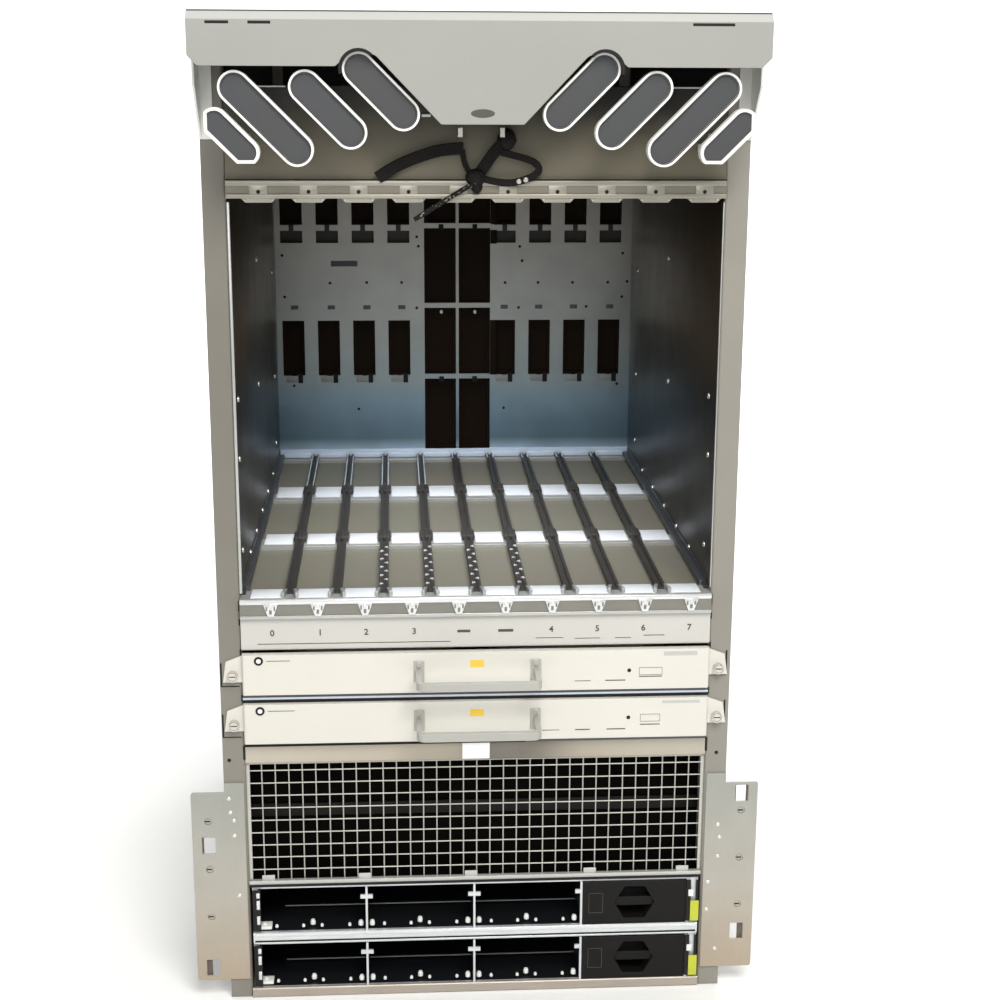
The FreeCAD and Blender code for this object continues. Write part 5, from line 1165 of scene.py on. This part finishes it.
wires = bmesh.new()
upright, level = ([(0.0, long), (WIRE_RADIUS, long), (WIRE_RADIUS, 0.0), (0.0, 0.0)]
                  for long in (GRILLE_HIGH.z - GRILLE_LOW.z, GRILLE_HIGH.x - GRILLE_LOW.x))
for k in range(WIRE_COUNT):
    x = (k - (WIRE_COUNT - 1) / 2) * WIRE_PITCH
    turned(wires, upright, (x, GRILLE_FRONT + 2.2, GRILLE_LOW.z), "up", 8)
for k in range(WIRE_ROWS):
    turned(wires, level, (GRILLE_LOW.x, GRILLE_FRONT + 1.0, TOP_WIRE - k * WIRE_PITCH), "right", 8)
for x0, x1, z0, z1 in GRILLE_FRAME:
    block(wires, (x0, GRILLE_FRONT, z0), (x1, GRILLE_HIGH.y, z1), 0.3)
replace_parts(keep(wires, "wire_grille", "wire_steel"), "intake_grille")

# %% [markdown]
# Five tabs hold the grille's foot, a bar stiffens the filter, and a dark foam pad on the deck between the two
# is painted shadow behind the grille.

# %% Grille tabs, filter bar and deck shadow pad
DECK_TOP = reach("plenum_deck")[1].z
FILTER_FRONT = reach("air_filter")[0].y
GRILLE_TABS = (-201.9, -109, -5.5, 110.8, 202)
# A dark pad: painted shadow on the deck behind the grille.
DECK_SHADOW_PAD = strip(GRILLE_HIGH.y + 0.2, FILTER_FRONT - 0.2, GRILLE_LOW.z, GRILLE_LOW.z + 1, 0.2, inset=0.5)
grille_tabs = [((x - 6.2, GRILLE_FRONT - 0.9, DECK_TOP - 2.0), (x + 6.2, GRILLE_FRONT, DECK_TOP + 5), 0.4)
               for x in GRILLE_TABS]
blocks("grille_tabs", grille_tabs, "deck_zinc")
blocks("filter_bar", [strip(FILTER_FRONT - 3.6, FILTER_FRONT, 178, 191, 1.2, inset=1)],
       "blank_paint")
blocks("deck_shadow_pad", [DECK_SHADOW_PAD], "filter_foam")

# %% [markdown]
# ## Power bays
# The empty bays are black inside. White studs of two sizes stand along the front of each floor, so
# two outlines are turned and set down bay by bay.

# %% Bay studs
BAY_FLOORS = (12.2, 71.6)
BAY_LEFT = (-212.5, -107.5, -2.5)
STUD_STEPS, BIG_STUD_STEPS = (17, 43, 61, 88), ((52, 10.0), (5, 6.0), (99, 6.0))
STUD = ((0.0, 3.0), (1.1, 2.7), (1.6, 1.6), (1.6, 0.0))
BIG_STUD = ((0.0, 5.2), (1.8, 4.8), (2.6, 3.0), (2.6, 0.0))
studs = bmesh.new()
for floor_at in BAY_FLOORS:
    for left in BAY_LEFT:
        for step in STUD_STEPS:
            turned(studs, STUD, (left + step, 5.0, floor_at), "up", 10)
        for step, d in BIG_STUD_STEPS:
            turned(studs, BIG_STUD, (left + step, d, floor_at), "up", 12)
keep(studs, "bay_studs", "lozenge_rim")

# %% [markdown]
# A pale seam crosses each floor, and tags hang at the right. Bright contact springs line the left
# side, and beads and dark gaps run along the tray edges. Each blank panel has a bare label outline,
# which rides on the blank.

# %% Seams, tags, contacts, gaps and blank outlines
TRAY_FRONT = reach("power_tray_upper")[0].y
BAY_GAPS = ((-217.6, -210.0), (206.4, 210.6), (215.6, 217.7))
CONTACTS = ((7.5, 16.5), (23.5, 33.0), (35.5, 41.0))
TRAY_BEADS = ((65.4, 69.4), (58.2, 60.0))
OUTLINE = 0.4
FINISH["lime_tag"] = moulded("lime_tag_nylon", "C9CE3C", "B4BB33", rough=0.5)
gaps = [((x0, -3.5, z), (x1, -1.9, z + 43.6), 0.2) for z in BAY_FLOORS for x0, x1 in BAY_GAPS]
gaps += [strip(TRAY_FRONT - 0.3, TRAY_FRONT + 0.2, 60.0, 61.6, inset=4), strip(-1.2, 0.1, 117.5, 119.8, 0.1)]
bright = [((-213.8, -4.0, z + z0), (-210.6, -3.2, z + z1), 0.4) for z in BAY_FLOORS for z0, z1 in CONTACTS]
bright += [strip(TRAY_FRONT - 0.4, TRAY_FRONT + 0.2, z0, z1, 0.3, inset=4) for z0, z1 in TRAY_BEADS]
blocks("bay_seams", [((-190, 47.5, z), (102, 49.5, z + 0.5), 0.1) for z in BAY_FLOORS],
       "grey_vinyl")
blocks("bay_tags", [((210.2, -4.4, z + 0.5), (218.6, -3.6, z + 22), 0.3) for z in BAY_FLOORS],
       "lime_tag")
blocks("tag_clips", [((208, -4.6, z + 27), (213, -3.4, z + 34), 0.6) for z in BAY_FLOORS],
       "lozenge_rim")
blocks("bay_corner_tabs", [((-214.5, 0.4, z), (-200, 12, z + 3.0), 0.5) for z in BAY_FLOORS],
       "lozenge_rim")
blocks("bay_gaps", gaps, "dark_gap")
blocks("bay_contacts_and_beads", bright, "tab_nickel")
for blank in ("power_blank_upper", "power_blank_lower"):
    low, high = reach(blank)
    outline = frame_lines(low.x + 6, low.x + 20, low.z + 12, high.z - 12, OUTLINE)
    patches(blank.replace("power_blank", "blank_outline"), outline, "print_ink", low.y, blank)

# %% [markdown]
# ## Rack plates
# Clip nuts fill the bolt holes of the two adapter plates, each with a dark slit of painted shade in its hole,
# dark stays cross the windows, and bright rivets fix each plate to its flange.

# %% Clip nuts, stays and rivets
PLATE_FACE = reach("rack_plate_left")[0].y
BOLTS = [(side * 257.5, z) for side in (-1, 1) for z in (88.0, 138.0, 188.0)]
RIVETS = ((-237, 211), (-236, 196.7), (-232.8, 188.2), (-232.8, 172.6), (-230.2, 109.6), (235.2, 173.1),
          (237.1, 160), (236, 139.6), (227.3, 112.2), (226.9, 82.4), (236.6, 39.5))
STAYS = ((-264, -258.6, 24.8, 41.8), (-264, -262.4, 154.5, 171.5), (258.6, 264, 50.2, 67.2),
         (262, 264, 197.5, 214.5), (251, 252.2, 197.5, 214.5))
CLIP_NUT = ((0.0, 1.6), (3.0, 1.6), (3.4, 1.2), (3.4, 0.0))
RIVET = ((0.0, 1.0), (1.2, 0.8), (2.0, 0.0))
FINISH["stay_brown"] = moulded("brown_grey_stay", "6A6157", "585048", rough=0.6)
heads("clip_nuts", [(x, 0.0, z) for x, z in BOLTS], CLIP_NUT, "rack_zinc", sides=16)
# Dark slits: painted shade in the holes of the clip nuts.
blocks("clip_nut_shadow_slits", [((x - 3.0, -1.75, z - 0.7), (x + 2.0, -1.4, z + 0.7), 0.1) for x, z in BOLTS],
       "dark_gap")
blocks("window_stays", [((x0, 0.2, z0 - 1), (x1, 2.0, z1 + 1), 0.3) for x0, x1, z0, z1 in STAYS],
       "stay_brown")
heads("plate_rivets", [(x, PLATE_FACE, z) for x, z in RIVETS], RIVET, "tab_nickel", sides=12)

# %% [markdown]
# ## Screws on the columns, sides, top and back
# Sheet panels are held by rows of screws. Pan heads sit on the sides, and flush ones on the top and
# the back, where a proud head would make the chassis larger than it is.

# %% Outer screws
SIDE_FACE, BACK_FACE = reach("rear_cover")[1].xy
TOP_FACE = reach("top_cover")[1].z
FLUSH = ((0.0, -0.6), (1.1, -0.6), (1.2, 0.05), (3.1, 0.05), (3.2, -0.4))
COLUMN_HOLE = ((0.0, 0.1), (1.8, 0.1), (2.1, -0.2))
COLUMN_HOLES = ((-235.4, 249.7), (231.2, 248), (-234, 205.5), (-230.5, 169))
SIDE_ROWS, SIDE_COLUMNS = (40, 250, 400, 600, 780, 900), (50, 240, 430, 620)
# Dark discs: painted shade inside the holes in the columns.
heads("column_holes", [(x, 0.0, z) for x, z in COLUMN_HOLES], COLUMN_HOLE, "dark_gap",
      sides=12)
side_screws, flush_screws = bmesh.new(), bmesh.new()
for side, facing in ((-1, "left"), (1, "right")):
    for d in SIDE_COLUMNS:
        for z in SIDE_ROWS:
            turned(side_screws, PAN_HEAD, (side * SIDE_FACE, d, z), facing, 12)
for x in (-200, -70, 70, 200):
    for d in (30, 330, 635):
        turned(flush_screws, FLUSH, (x, d, TOP_FACE), "up", 16)
for x in (-212, 212):
    for z in (30, 160, 290, 420, 550, 680, 790, 920):
        turned(flush_screws, FLUSH, (x, BACK_FACE, z), "back", 16)
keep(side_screws, "side_screws", "screw_nickel")
keep(flush_screws, "flush_screws", "screw_nickel")
